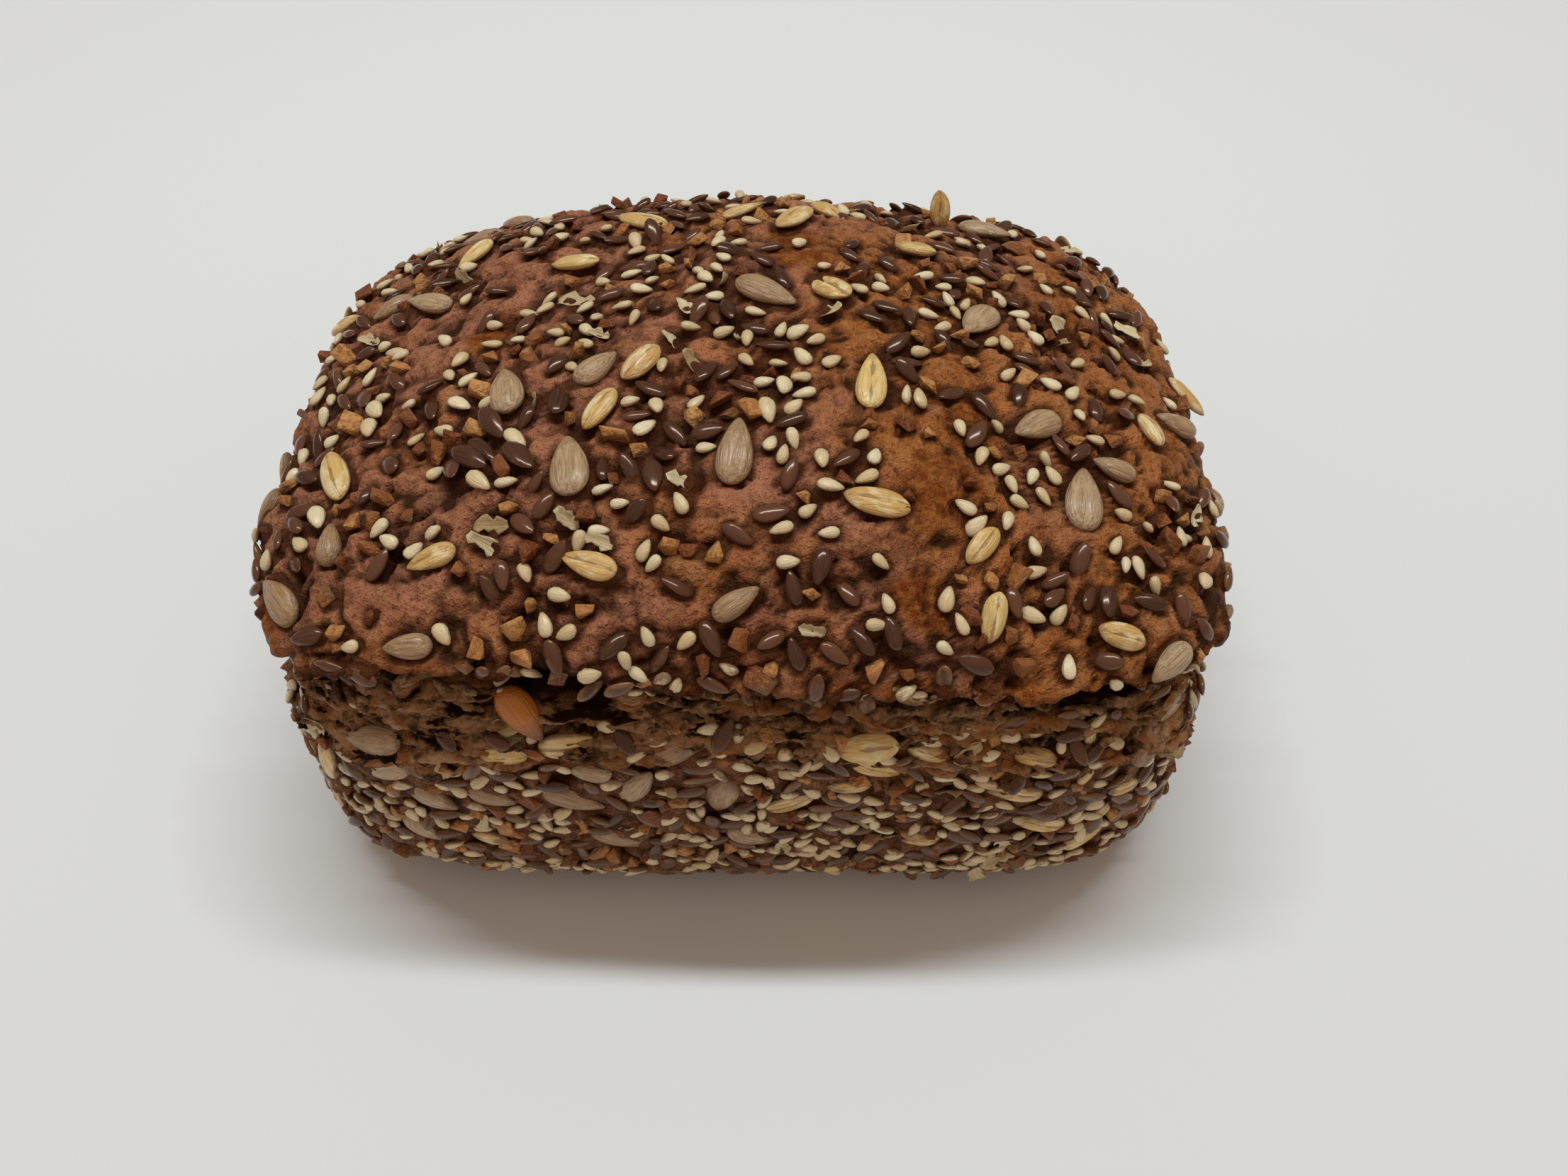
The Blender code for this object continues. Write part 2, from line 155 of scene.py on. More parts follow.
# Where the photo shows small seeds clearly: in the same way
SMALL_SIGHTINGS = {
    "sesame": (
        (462, 548, 442, 575), (481, 616, 459, 630), (520, 620, 522, 592), (541, 592, 525, 572),
        (596, 610, 575, 632), (662, 577, 637, 567), (697, 561, 676, 575), (743, 636, 716, 610),
        (625, 654, 604, 675), (690, 689, 662, 670), (729, 677, 694, 679), (512, 677, 480, 660),
        (450, 749, 447, 717), (632, 752, 596, 751), (589, 764, 570, 795), (904, 570, 875, 571),
        (925, 596, 894, 617), (994, 555, 971, 577), (1095, 537, 1064, 542), (1100, 562, 1106, 532),
        (1085, 600, 1080, 565), (889, 709, 861, 711), (945, 747, 920, 730), (1085, 753, 1120, 742),
        (922, 759, 902, 787), (911, 806, 935, 785), (811, 779, 822, 746), (859, 749, 827, 750),
        (1064, 519, 1047, 501),
    ),
    "linseed": (
        (715, 622, 682, 580), (697, 646, 664, 620), (750, 670, 714, 632), (690, 660, 645, 641),
        (650, 692, 632, 645), (535, 622, 511, 632), (507, 655, 482, 630), (452, 680, 425, 672),
        (527, 680, 507, 712), (755, 755, 721, 725), (520, 580, 504, 545), (792, 541, 785, 591),
        (921, 584, 877, 591), (922, 695, 917, 645), (1011, 510, 982, 541), (1042, 512, 1012, 535),
        (1115, 720, 1061, 730), (1062, 767, 1019, 740), (966, 622, 937, 592), (782, 697, 754, 732),
        (772, 670, 745, 692), (807, 762, 765, 802),
    ),
    "grit": (
        (696, 552, 652, 552), (510, 599, 484, 599), (426, 685, 396, 685), (680, 606, 652, 606),
        (651, 622, 624, 622), (628, 650, 606, 634), (722, 665, 698, 649), (728, 718, 704, 718),
        (532, 771, 508, 771), (816, 592, 790, 592), (886, 617, 846, 617), (1044, 577, 1014, 577),
        (1030, 552, 990, 574), (1070, 594, 1046, 570), (1064, 535, 1040, 535), (988, 592, 964, 582),
        (788, 757, 764, 757), (838, 727, 812, 727), (956, 766, 930, 766), (984, 774, 960, 774),
        (914, 635, 888, 635),
    ),
    "husk": (
        (668, 735, 716, 738), (660, 752, 700, 770), (690, 745, 735, 768), (785, 722, 812, 742),
        (838, 760, 862, 772), (1082, 590, 1096, 560), (935, 470, 962, 486), (962, 505, 990, 520),
    ),
}

# The crust's mesh: cells along X, Y and Z before its crown and walls are cut in two once more
CRUST_CELLS = (98, 76, 40)
BASE_LIFT = 0.3 * MM

# The torn crumb's strip: its cells along and up, how far it goes round the corners, how far its hem
# hangs below the tear's foot, how far it dives under the crust, and the hollow that holds it
TORN_CELLS = (600, 72)
TORN_REACH = 1.12
TORN_HEM = 5.0 * MM
TORN_MARGIN = 1.5 * MM
TORN_DIVE = 2.6 * MM
TORN_ROOM = 1.6 * MM

# Its layers with clefts between them, and its fins: depth, length and height; its grains: height and width
TORN_LAYERS = ((3.6 * MM, 30 * MM, 3.2 * MM), (2.0 * MM, 15 * MM, 1.5 * MM))
TORN_FINS = (0.9 * MM, 11 * MM, 1.5 * MM)
TORN_GRAINS = ((0.40 * MM, 1.3 * MM), (0.22 * MM, 0.6 * MM))
TORN_WARP = ((1.5 * MM, 14 * MM), (0.35 * MM, 3 * MM))

# Fine relief: height and width of the skin's small swellings, and of the torn crumb's
SKIN_LUMPS = ((0.8 * MM, 7 * MM), (0.6 * MM, 3.0 * MM), (0.42 * MM, 1.5 * MM))
GROOVE_PLACE = 0.25 * MM
GROOVE_WIDTH = 0.55 * MM
GROOVE_DEPTH = 0.65 * MM
WALL_MOUND = 0.35 * MM
CROWD_BEADS = 7
CROWD_RANGE = (0.5 * MM, 2.3 * MM)
CROWD_DEPTH = 0.8 * MM
CREASE = 0.55 * MM
CREASE_WIDTH = 6.5 * MM
UNDERCUTS = ((3.4 * MM, -2.6 * MM, 1.9 * MM), (-1.3 * MM, 0.9 * MM, 1.1 * MM))
CRUMB_LUMPS = ((0.95 * MM, 5.0 * MM), (0.55 * MM, 2.4 * MM), (0.30 * MM, 1.3 * MM))
PIT_COUNT = 900
PIT_RADIUS = (0.7 * MM, 1.7 * MM)
PIT_DEPTH = 0.8
PIT_DRAW = 5
NOTCH_COUNT = 34
NOTCH_RADIUS = (1.0 * MM, 2.6 * MM)
NOTCH_DEPTH = (1.0 * MM, 2.4 * MM)
NOTCH_REACH = 0.85
NOTCH_RISE = (-0.5, 2.0)
CRACK_STEP = 0.35
CRACK_WANDER = 0.8 * MM
FRAY = 3.2 * MM

# Cracks and holes in the crown that the photo shows, as pixels, with widths and depths in metres
CREVICES = (
    (((1318, 360), (1345, 372), (1372, 380)), 1.1 * MM, 1.8 * MM),
    (((1338, 556), (1352, 600), (1378, 622), (1402, 652)), 0.9 * MM, 1.5 * MM),
    (((1313, 795), (1304, 842), (1312, 898)), 0.8 * MM, 1.3 * MM),
    (((1062, 330), (1110, 344), (1168, 338), (1204, 356)), 1.2 * MM, 1.3 * MM),
    (((930, 596), (985, 606), (1010, 640)), 0.6 * MM, 0.7 * MM),
    (((1242, 752), (1300, 770), (1330, 756)), 0.8 * MM, 1.0 * MM),
)
HOLES = (
    ((1434, 774), 1.3 * MM, 2.2 * MM), ((905, 660), 0.8 * MM, 1.2 * MM), ((905, 556), 0.8 * MM, 1.2 * MM),
    ((556, 778), 2.2 * MM, 2.6 * MM), ((546, 684), 1.2 * MM, 1.8 * MM), ((592, 722), 1.6 * MM, 1.8 * MM),
    ((1010, 552), 1.5 * MM, 1.8 * MM), ((742, 838), 1.3 * MM, 1.6 * MM), ((1120, 815), 1.6 * MM, 1.9 * MM),
)

# Rough bare crumb on the crown: pixel of its middle, and its radius
CRUMB_PATCHES = (
    ((1130, 345), 9 * MM), ((1335, 690), 8 * MM), ((1365, 600), 6 * MM), ((1550, 470), 7 * MM),
    ((1310, 840), 6 * MM), ((620, 960), 6 * MM), ((700, 470), 6 * MM),
)

# Full scatter: how many of each kind lie on the crown, on the walls and on the base
SCATTER = (
    ("sunflower", 0, 26, 6), ("oat", 0, 30, 6), ("linseed", 250, 700, 60),
    ("sesame", 290, 1000, 90), ("grit", 210, 620, 40), ("husk", 24, 60, 0),
)
SCATTER_DRAW = 71
SCATTER_TRIES = (20000, 60000, 4000)
MOST_OVERLAP = (-0.35 * MM, -0.9 * MM, 0.0)
STACK_LIFT = (1.0, 0.65)
SIZE_RANGES = {"grit": (0.55, 1.25), "husk": (0.6, 1.25)}
CLUSTER_WIDTH = 13 * MM
CLUSTER_SHIFT = Vector((7, 3, 5))
CLUSTER_SHARE = 0.05
BARENESS = 0.94
CROWN_FOOT = 48 * MM
BARE_SPOTS = (((470, 1005), 11 * MM), ((560, 1050), 12 * MM), ((640, 1035), 8 * MM), ((1620, 1050), 11 * MM))
SHRED_COUNT = 150
SHRED_CLEAR = 11 * MM
SHRED_RANGE = (0.4, 1.2)
SHRED_DRAW = 12
ROOM_CELL = 5 * MM

# Colours of the crust, as linear light
PURPLE_CRUST = (0.465, 0.180, 0.104)
DARK_PURPLE = (0.085, 0.017, 0.007)
ORANGE_CRUST = (0.455, 0.150, 0.038)
RED_CRUST = (0.170, 0.035, 0.007)
TAN_SPECKS = (0.500, 0.235, 0.100)
WALL_CRUST = (0.230, 0.110, 0.048)
WALL_DARK = (0.055, 0.019, 0.007)
FILM_COLOUR = (0.225, 0.112, 0.050)
DARK_CRUMB = (0.060, 0.022, 0.008)
TAN_CRUMB = (0.450, 0.245, 0.120)
ORANGE_CRUMB = (0.350, 0.120, 0.026)
# Painted shade for the crust round the seeds and between crowded ones
SEED_GAP_SHADE = (0.046, 0.009, 0.003)
# Painted shade for dents, clefts, undercuts and the low parts of the crust and torn crumb
RECESS_SHADE = (0.012, 0.003, 0.001)
WARM_GLOSS = (1.0, 0.72, 0.55, 1.0)
CRUST_GLOSS = (1.0, 0.45, 0.25, 1.0)
LINSEED_GLOSS = (1.0, 0.76, 0.62, 1.0)

# The heights between which the walls' colour gives way to the crown's
WALL_FADE = (45 * MM, 62 * MM)

# The floor, the long lamp above, and the light from all round
FLOOR_REACH = 3.0
FLOOR_COLOUR = (0.78, 0.78, 0.775, 1)
LAMP_PLACE = Vector((-0.01, 0.226, 1.25))
LAMP_SIZES = (1.15, 0.08)
LAMP_POWER = 11.7
LAMP_COLOUR = (0.90, 1.00, 1.04)
ZENITH_COLOUR = (0.380, 0.320, 0.275)
HORIZON_COLOUR = (0.270, 0.190, 0.135)
FRONT_SHARE = 0.5


def smooth_step(low, high, value):
    """0 below low, 1 above high and a soft rise between them."""
    share = min(max((value - low) / (high - low), 0.0), 1.0)
    return share * share * (3 - 2 * share)


def on_outline(x, y, squareness):
    """Where the ray through x, y meets the rounded outline of the square from -1 to 1."""
    shrink = (abs(x) ** squareness + abs(y) ** squareness) ** (-1 / squareness)
    return x * shrink, y * shrink


def outline_point(side, inset, radius, height, rise=0.0):
    """A point of the outline at a height, pulled in by inset, scaled by radius and raised by rise."""
    low = max(0.0, 1 - height / LIP_HEIGHT)
    squareness = LIP_SQUARENESS + (FOOT_SQUARENESS - LIP_SQUARENESS) * low
    squareness += (CROWN_SQUARENESS - LIP_SQUARENESS) * rise
    across, along = on_outline(side[0], side[1], squareness)
    pulled = inset + TIN_TAPER * low
    belly = BELLY * math.sin(math.pi * min(height / LIP_HEIGHT, 1.0)) * along * abs(along)
    x = radius * (HALF_LENGTH - pulled) * across
    y = radius * ((HALF_DEPTH - pulled) * along + belly)
    crown = HEIGHT - LIP_HEIGHT - END_DROP * (x / HALF_LENGTH) ** 2
    return Vector((x, y, height + rise * crown))


def loaf_point(place):
    """Carries a place on the cube from -1 to 1 onto the loaf, without its lumps and tears."""
    reach = max(abs(place.x), abs(place.y))
    side = (place.x / reach, place.y / reach) if reach > 0 else (1.0, 0.0)
    foot_path = FOOT_RADIUS * math.pi / 2
    if reach > 1 - 1e-6:
        climb = (place.z + 1) / 2 * (foot_path + LIP_HEIGHT - FOOT_RADIUS)
        if climb > foot_path:
            return outline_point(side, 0.0, 1.0, climb - foot_path + FOOT_RADIUS)
        turn = climb / FOOT_RADIUS
        inset = FOOT_RADIUS * (1 - math.sin(turn))
        return outline_point(side, inset, 1.0, FOOT_RADIUS * (1 - math.cos(turn)))
    if place.z < 0:
        return outline_point(side, FOOT_RADIUS, reach, 0.0)
    turn = (1 - reach) * math.pi / 2
    radius = math.cos(turn) ** (2 / CROWN_FULLNESS)
    return outline_point(side, 0.0, radius, LIP_HEIGHT, math.sin(turn) ** (2 / CROWN_FULLNESS))


def cube_grid(cells):
    """A cube from -1 to 1 whose edges are cut into so many cells along X, Y and Z."""
    grid = bmesh.new()
    bmesh.ops.create_cube(grid, size=2.0)
    for axis, count in enumerate(cells):
        along = [edge for edge in grid.edges if abs(edge.verts[0].co[axis] - edge.verts[1].co[axis]) > 1.5]
        bmesh.ops.subdivide_edges(grid, edges=along, cuts=count - 1, use_grid_fill=True)
    return grid


def waves(point, kinds):
    """Noise at a point, summed over kinds of a height and a width each."""
    return sum(size * noise.noise(point / width) for size, width in kinds)


def lump_height(point):
    """How far the crust swells out at a point: most on the crown, and not at all at the base."""
    crown = smooth_step(WALL_END * LIP_HEIGHT, CROWN_START * LIP_HEIGHT, point.z)
    share = WALL_LUMP_SHARE + (1 - WALL_LUMP_SHARE) * crown
    return waves(point, LUMPS) * share * smooth_step(0.0, FOOT_RADIUS, point.z)


def tear_edges(x):
    """How high the tear's lip and its foot are at a place along the front."""
    ragged = sum(size * noise.noise(Vector((x / width, 0, 0))) for size, width in TEAR_RAGGED)
    bend = (x / TEAR_REACH) ** 2 * TEAR_DROP
    peak = TEAR_PEAK * math.exp(-(((x - TEAR_PEAK_PLACE) / TEAR_PEAK_WIDTH) ** 2))
    return TEAR_LIP + peak - bend / 2 + ragged, TEAR_FOOT - bend - ragged


def front_facing(point):
    """How far to the front a point is: 1 on the front wall, fading to 0 round the corners."""
    return smooth_step(*TEAR_FADE, -point.y / HALF_DEPTH)


def tear_share(point):
    """How torn the front is at a point: 0 on whole crust and 1 in the tear."""
    lip, foot = tear_edges(point.x)
    above_foot = smooth_step(foot - TEAR_FOOT_EDGE, foot + TEAR_FOOT_EDGE, point.z)
    above_lip = smooth_step(lip - TEAR_LIP_EDGE, lip + TEAR_LIP_EDGE, point.z)
    return front_facing(point) * above_foot * (1 - above_lip)


def shape_form(form):
    """Gives a cut cube the loaf's bare form. Returns how torn each of its vertices is."""
    for vert in form.verts:
        vert.co = loaf_point(vert.co)
    form.normal_update()
    torn = [tear_share(vert.co) for vert in form.verts]
    moved = [vert.co + vert.normal * (lump_height(vert.co) - TEAR_DEPTH * share)
             for vert, share in zip(form.verts, torn)]
    for vert, place in zip(form.verts, moved):
        vert.co = place
    form.normal_update()
    return torn


def sight_turn():
    """How the lens is turned: it looks along its own -Z."""
    turn = Matrix.Rotation(LENS_YAW, 3, "Z") @ Matrix.Rotation(math.pi / 2 - LENS_PITCH, 3, "X")
    return turn @ Matrix.Rotation(LENS_ROLL, 3, "Z")


def seen_at(tree, pixel):
    """The place on the loaf's form that a pixel of the photo shows, and the form's outward direction."""
    ray = Vector((pixel[0] - PHOTO_CENTRE[0], PHOTO_CENTRE[1] - pixel[1], -LENS_PIXELS))
    ray = (sight_turn() @ ray).normalized()
    place, outward, _, _ = tree.ray_cast(LENS_PLACE, ray)
    if place is None:
        middle = Vector((0, 0, HEIGHT / 2))
        place, outward, _, _ = tree.find_nearest(LENS_PLACE + ray * (middle - LENS_PLACE).dot(ray))
    return place, outward


class Seed:
    """One seed: its kind, its middle on the form, the way it points, and its size."""

    def __init__(self, kind, place, outward, heading, size):
        length, width, self.thickness = (side * MM for side in KINDS[kind][1])
        self.kind = kind
        self.length = length * size
        self.width = width * size
        self.place = place
        self.outward = outward
        self.on_crown = outward.z >= CROWN_FACING
        self.heading = (heading - outward * heading.dot(outward)).normalized()
        self.lift = 0.0
        self.stand = 0.0
        self.tint = None
        self.seated = True

    def beads(self):
        """Three balls along the seed that stand for the room it takes."""
        step = self.heading * (self.length - self.width) * 0.5
        return [(self.place + step * share, self.width / 2) for share in (-1, 0, 1)]


def has_room(seed, others):
    """Whether a seed keeps its gap to all the others."""
    for other in others:
        if (seed.place - other.place).length > (seed.length + other.length) / 2 + SEED_GAP:
            continue
        for place, radius in seed.beads():
            for other_place, other_radius in other.beads():
                if (place - other_place).length < radius + other_radius + SEED_GAP:
                    return False
    return True


def sighted(tree, kind, sighting, size_range):
    """A seed that the photo shows, lying from its tip to its blunt end."""
    tip, tip_outward = seen_at(tree, sighting[:2])
    blunt, blunt_outward = seen_at(tree, sighting[2:])
    size = (tip - blunt).length / (KINDS[kind][1][0] * MM)
    size = min(max(size, size_range[0]), size_range[1])
    return Seed(kind, (tip + blunt) / 2, (tip_outward + blunt_outward).normalized(), tip - blunt, size)


def seen_seeds(tree):
    """The large seeds that the photo shows."""
    seeds = []
    for kind, sightings in SIGHTINGS.items():
        for sighting in sightings:
            seed = sighted(tree, kind, sighting, SEEN_RANGE)
            if has_room(seed, seeds):
                seeds.append(seed)
    return seeds


def running_areas(faces):
    """The faces' areas, each added to those before it."""
    return np.cumsum([face.calc_area() for face in faces]).tolist()


def spread_seeds(form, seeds):
    """Adds large seeds at random places that still have room, until each kind's count is met."""
    draw = random.Random(SEED_DRAW)
    faces = list(form.faces)
    areas = running_areas(faces)
    for kind, crown_count, wall_count in SEED_COUNTS:
        wanted = {True: crown_count, False: wall_count}
        for seed in seeds:
            if seed.kind == kind:
                wanted[seed.outward.z > CROWN_FACING] -= 1
        for _ in range(MOST_TRIES):
            face = draw.choices(faces, cum_weights=areas)[0]
            place = face.calc_center_median()
            on_crown = face.normal.z > CROWN_FACING
            shown = on_crown and face.normal.dot((LENS_PLACE - place).normalized()) > SHOWN_FACING
            angle = draw.uniform(-math.pi, math.pi) if on_crown else draw.gauss(0, WALL_HEADING_SPREAD)
            size = draw.uniform(*SEED_RANGE)
            torn = 1 - tear_share(place) < LEAST_WHOLE
            if wanted[on_crown] <= 0 or face.normal.z < -CROWN_FACING or torn or shown:
                continue
            level = UP.cross(face.normal).normalized()
            heading = Matrix.Rotation(angle, 3, face.normal) @ level
            seed = Seed(kind, place, face.normal.copy(), heading, size)
            lowest = min(bead.z - radius for bead, radius in seed.beads())
            if lowest > SEED_FLOOR and has_room(seed, seeds):
                seeds.append(seed)
                wanted[on_crown] -= 1


def place_tree(items):
    """A tree that finds items by their places, which are their first values."""
    tree = kdtree.KDTree(len(items))
    for number, item in enumerate(items):
        tree.insert(item[0], number)
    tree.balance()
    return tree


class Dents:
    """Round hollows pressed into the crust: each has a middle, a radius and a depth."""

    def __init__(self, items):
        self.items = items
        self.widest = max(radius for _, radius, _ in items)
        self.tree = place_tree(items)

    def depth_at(self, point):
        """How deep the crust is pressed in at a point."""
        depth = 0.0
        for _, number, distance in self.tree.find_range(point, self.widest):
            _, radius, most = self.items[number]
            if distance < radius:
                depth = max(depth, most * (1 - (distance / radius) ** 2) ** 2)
        return depth


def on_front(tree, along, height):
    """The place on the front wall at a place along X and a height."""
    return tree.ray_cast(Vector((along, -2 * HALF_DEPTH, height)), Vector((0, 1, 0)))[0]


def crust_dents(guide, tree):
    """The pits all over the crust, and the cracks, holes and caverns that the photo shows."""
    dents = []
    draw = random.Random(PIT_DRAW)
    faces = [face for face in guide.faces if face.calc_center_median().z > FOOT_RADIUS / 2]
    for face in draw.choices(faces, weights=[face.calc_area() for face in faces], k=PIT_COUNT):
        radius = draw.uniform(*PIT_RADIUS)
        dents.append((face.calc_center_median(), radius, radius * PIT_DEPTH))
    for pixels, width, depth in CREVICES:
        corners = [seen_at(tree, pixel)[0] for pixel in pixels]
        for start, end in zip(corners, corners[1:]):
            steps = max(2, round((end - start).length / (CRACK_STEP * width)))
            for step in range(steps + 1):
                place = start.lerp(end, step / steps)
                wander = noise.noise_vector(place / (3 * MM)) * CRACK_WANDER
                waver = 0.75 + 0.7 * noise.noise(place / (4 * MM))
                middle = tree.find_nearest(place + wander)[0]
                dents.append((middle, width * (0.6 + 0.5 * waver), depth * waver))
    for _ in range(NOTCH_COUNT):
        along = draw.uniform(-NOTCH_REACH, NOTCH_REACH) * HALF_LENGTH
        middle = on_front(tree, along, tear_edges(along)[0] + draw.uniform(*NOTCH_RISE) * MM)
        dents.append((middle, draw.uniform(*NOTCH_RADIUS), draw.uniform(*NOTCH_DEPTH)))
    dents += [(seen_at(tree, pixel)[0], radius, depth) for pixel, radius, depth in HOLES]
    for along, height, (half_length, depth, half_height) in CAVERNS:
        middle = on_front(tree, along, height)
        for side in (-0.9, 0.0, 0.9):
            place = middle + Vector((side * half_length, 0, 0))
            dents.append((place, half_height * 1.7, depth * 2.0))
    return Dents(dents)


def set_attributes(mesh, **columns):
    """Stores named numbers for the mesh's points, one for each point."""
    for name, values in columns.items():
        mesh.attributes.new(name, "FLOAT", "POINT").data.foreach_set("value", values)


def add_object(name, data):
    """An object in the scene."""
    item = bpy.data.objects.new(name, data)
    bpy.context.scene.collection.objects.link(item)
    return item


def add_piece(name, mesh, material):
    """A piece that rides on the loaf's body and stands for its solid."""
    mesh.materials.append(material)
    piece = add_object(name, mesh)
    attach(piece, "root")
    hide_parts("loaf")


def patch_share(point, patches):
    """How far inside one of the rough crumb patches a point is, from 0 to 1."""
    share = 0.0
    for middle, radius in patches:
        distance = (point - middle).length * (1 + 0.5 * noise.noise(point / (4 * MM)))
        share = max(share, 1 - smooth_step(0.5 * radius, radius, distance))
    return share


def torn_hem(point):
    """How much of the torn crumb's ragged hem shows at a point below the tear, from 0 to 1."""
    edge = tear_edges(point.x)[1] - TORN_HEM
    ragged = point.z + 1.8 * MM * noise.noise(Vector((point.x / (5 * MM), 0, point.z / (4 * MM))))
    return front_facing(point) * smooth_step(edge - 1.5 * MM, edge + 1.5 * MM, ragged)


def lip_fray(point):
    """How much crumb shows at a point on the tear's frayed lip, from 0 to 1."""
    lip, _ = tear_edges(point.x)
    if point.z < lip - 2 * MM:
        return 0.0
    reach = FRAY * (0.35 + 1.6 * noise.noise(Vector((point.x / (5 * MM), 8, point.z / (5 * MM)))))
    return 0.9 * front_facing(point) * (1 - smooth_step(lip + reach - MM, lip + reach + MM, point.z))


def undercut(point):
    """How far the front is pulled in just below the tear's ragged lip; below 0 where the lip hangs out."""
    above = point.z - tear_edges(point.x)[0]
    waver = 0.8 + 1.3 * noise.noise(Vector((point.x / (6 * MM), 3, 0)))
    pull = sum(size * math.exp(-(((above - middle) / width) ** 2)) for size, middle, width in UNDERCUTS)
    return front_facing(point) * waver * pull


class Sockets:
    """Where seeds sit in the crust, which they leave a groove round; their gaps also set where shade is
    painted round and between them.
    """

    def __init__(self, seeds):
        self.beads = [bead for seed in seeds for bead in seed.beads()]
        self.tree = place_tree(self.beads)

    def gap(self, point):
        """How far a point is from the nearest seed's rim, below 0 under it, and how crowded it is there."""
        near = self.tree.find_n(point, CROWD_BEADS)
        gaps = [distance - self.beads[number][1] for _, number, distance in near]
        return min(gaps), 1 - smooth_step(*CROWD_RANGE, max(gaps))


def make_crust(dents, tree, seeds, material):
    """The loaf's outer surface, from its lumps down to pits of a millimetre."""
    form = cube_grid(CRUST_CELLS)
    upper = {edge for face in form.faces if face.normal.z > -0.5 for edge in face.edges}
    bmesh.ops.subdivide_edges(form, edges=list(upper), cuts=1, use_grid_fill=True)
    torn = shape_form(form)
    patches = [(seen_at(tree, pixel)[0], radius) for pixel, radius in CRUMB_PATCHES]
    sockets = Sockets(seeds)
    moved, hollow, rough, relief, socket = [], [], [], [], []
    for vert, share in zip(form.verts, torn):
        point = vert.co
        hem = 0.7 * torn_hem(point) * (point.z < TEAR_FOOT)
        bare = max(share, 0.8 * patch_share(point, patches), hem, lip_fray(point))
        creases = CREASE * max(0.0, 1 - 7 * abs(noise.noise(point / CREASE_WIDTH)))
        skin = (waves(point, SKIN_LUMPS) - creases) * (1 - bare)
        crumb = waves(point, CRUMB_LUMPS) * bare
        raised = smooth_step(0.2 * MM, FOOT_RADIUS / 2, point.z)
        gap, crowd = sockets.gap(point)
        crowd *= point.z > LIP_HEIGHT
        groove = math.exp(-(((gap - GROOVE_PLACE) / GROOVE_WIDTH) ** 2))
        wall = 1 - smooth_step(CROWN_FOOT, LIP_HEIGHT + 2 * MM, point.z)
        inward = groove * (GROOVE_DEPTH - (GROOVE_DEPTH + WALL_MOUND) * wall) + TORN_ROOM * share
        inward += dents.depth_at(point) + (undercut(point) if point.z > FOOT_RADIUS else 0.0)
        place = point + vert.normal * ((skin + crumb) * raised - inward - CROWD_DEPTH * crowd)
        if point.z < 0.01 * MM:
            place = point + UP * (BASE_LIFT + 0.1 * MM * noise.noise(point / (3 * MM)))
        place.z = max(place.z, BASE_LIFT / 2)
        moved.append(place)
        # hollow: how far the crust is pressed in, which steers painted shade in its dents, grooves and under
        # the lip
        hollow.append(min(max(inward, 0.0) / (1.8 * MM), 1.0))
        # socket: painted shade round each seed's rim and between crowded seeds, less of it on the walls
        socket.append(max((1 - smooth_step(0.0, 0.9 * MM, gap)) * (1 - 0.4 * wall), crowd))
        rough.append(bare)
        # relief: the height of skin and crumb, which steers painted shade in their low parts and painted
        # light on their raised parts
        relief.append(0.5 + skin / (1.3 * MM) + crumb / (3.0 * MM))
    for vert, place in zip(form.verts, moved):
        vert.co = place
    crust_tree = BVHTree.FromBMesh(form)
    mesh = bpy.data.meshes.new("crust")
    form.to_mesh(mesh)
    form.free()
    mesh.shade_smooth()
    set_attributes(mesh, torn=torn, hollow=hollow, rough=rough, relief=relief, socket=socket)
    add_piece("crust", mesh, material)
    return crust_tree


def front_point(side, height):
    """A point of the bare form's front wall, or of the crown's edge just above it."""
    rise = max(height - LIP_HEIGHT, 0.0) / (HEIGHT - LIP_HEIGHT)
    radius = (1 - rise ** CROWN_FULLNESS) ** (1 / CROWN_FULLNESS)
    return outline_point((side, -1.0), 0.0, radius, min(height, LIP_HEIGHT), rise)


def layer_height(point):
    """How far the torn crumb's layers, fins and grains stand out at a point."""
    warped = point.z + waves(point, TORN_WARP)

    def layers(length, thickness, shift=0):
        """Noise in long level layers, without its sign."""
        return abs(noise.noise(Vector((point.x / length + shift, point.y / length, warped / thickness))))

    height = waves(point, TORN_GRAINS)
    for depth, length, thickness in TORN_LAYERS:
        height += depth * (min(layers(length, thickness) * 2.2, 0.6) ** 0.6 - 0.5)
    depth, length, thickness = TORN_FINS
    return height + depth * max(0.0, 1 - 5 * layers(length, thickness, 9))


def grid_faces(columns, rows):
    """The faces of a grid whose points are listed column by column."""
    corners = [column * rows + row for column in range(columns - 1) for row in range(rows - 1)]
    return [(corner, corner + rows, corner + rows + 1, corner + 1) for corner in corners]


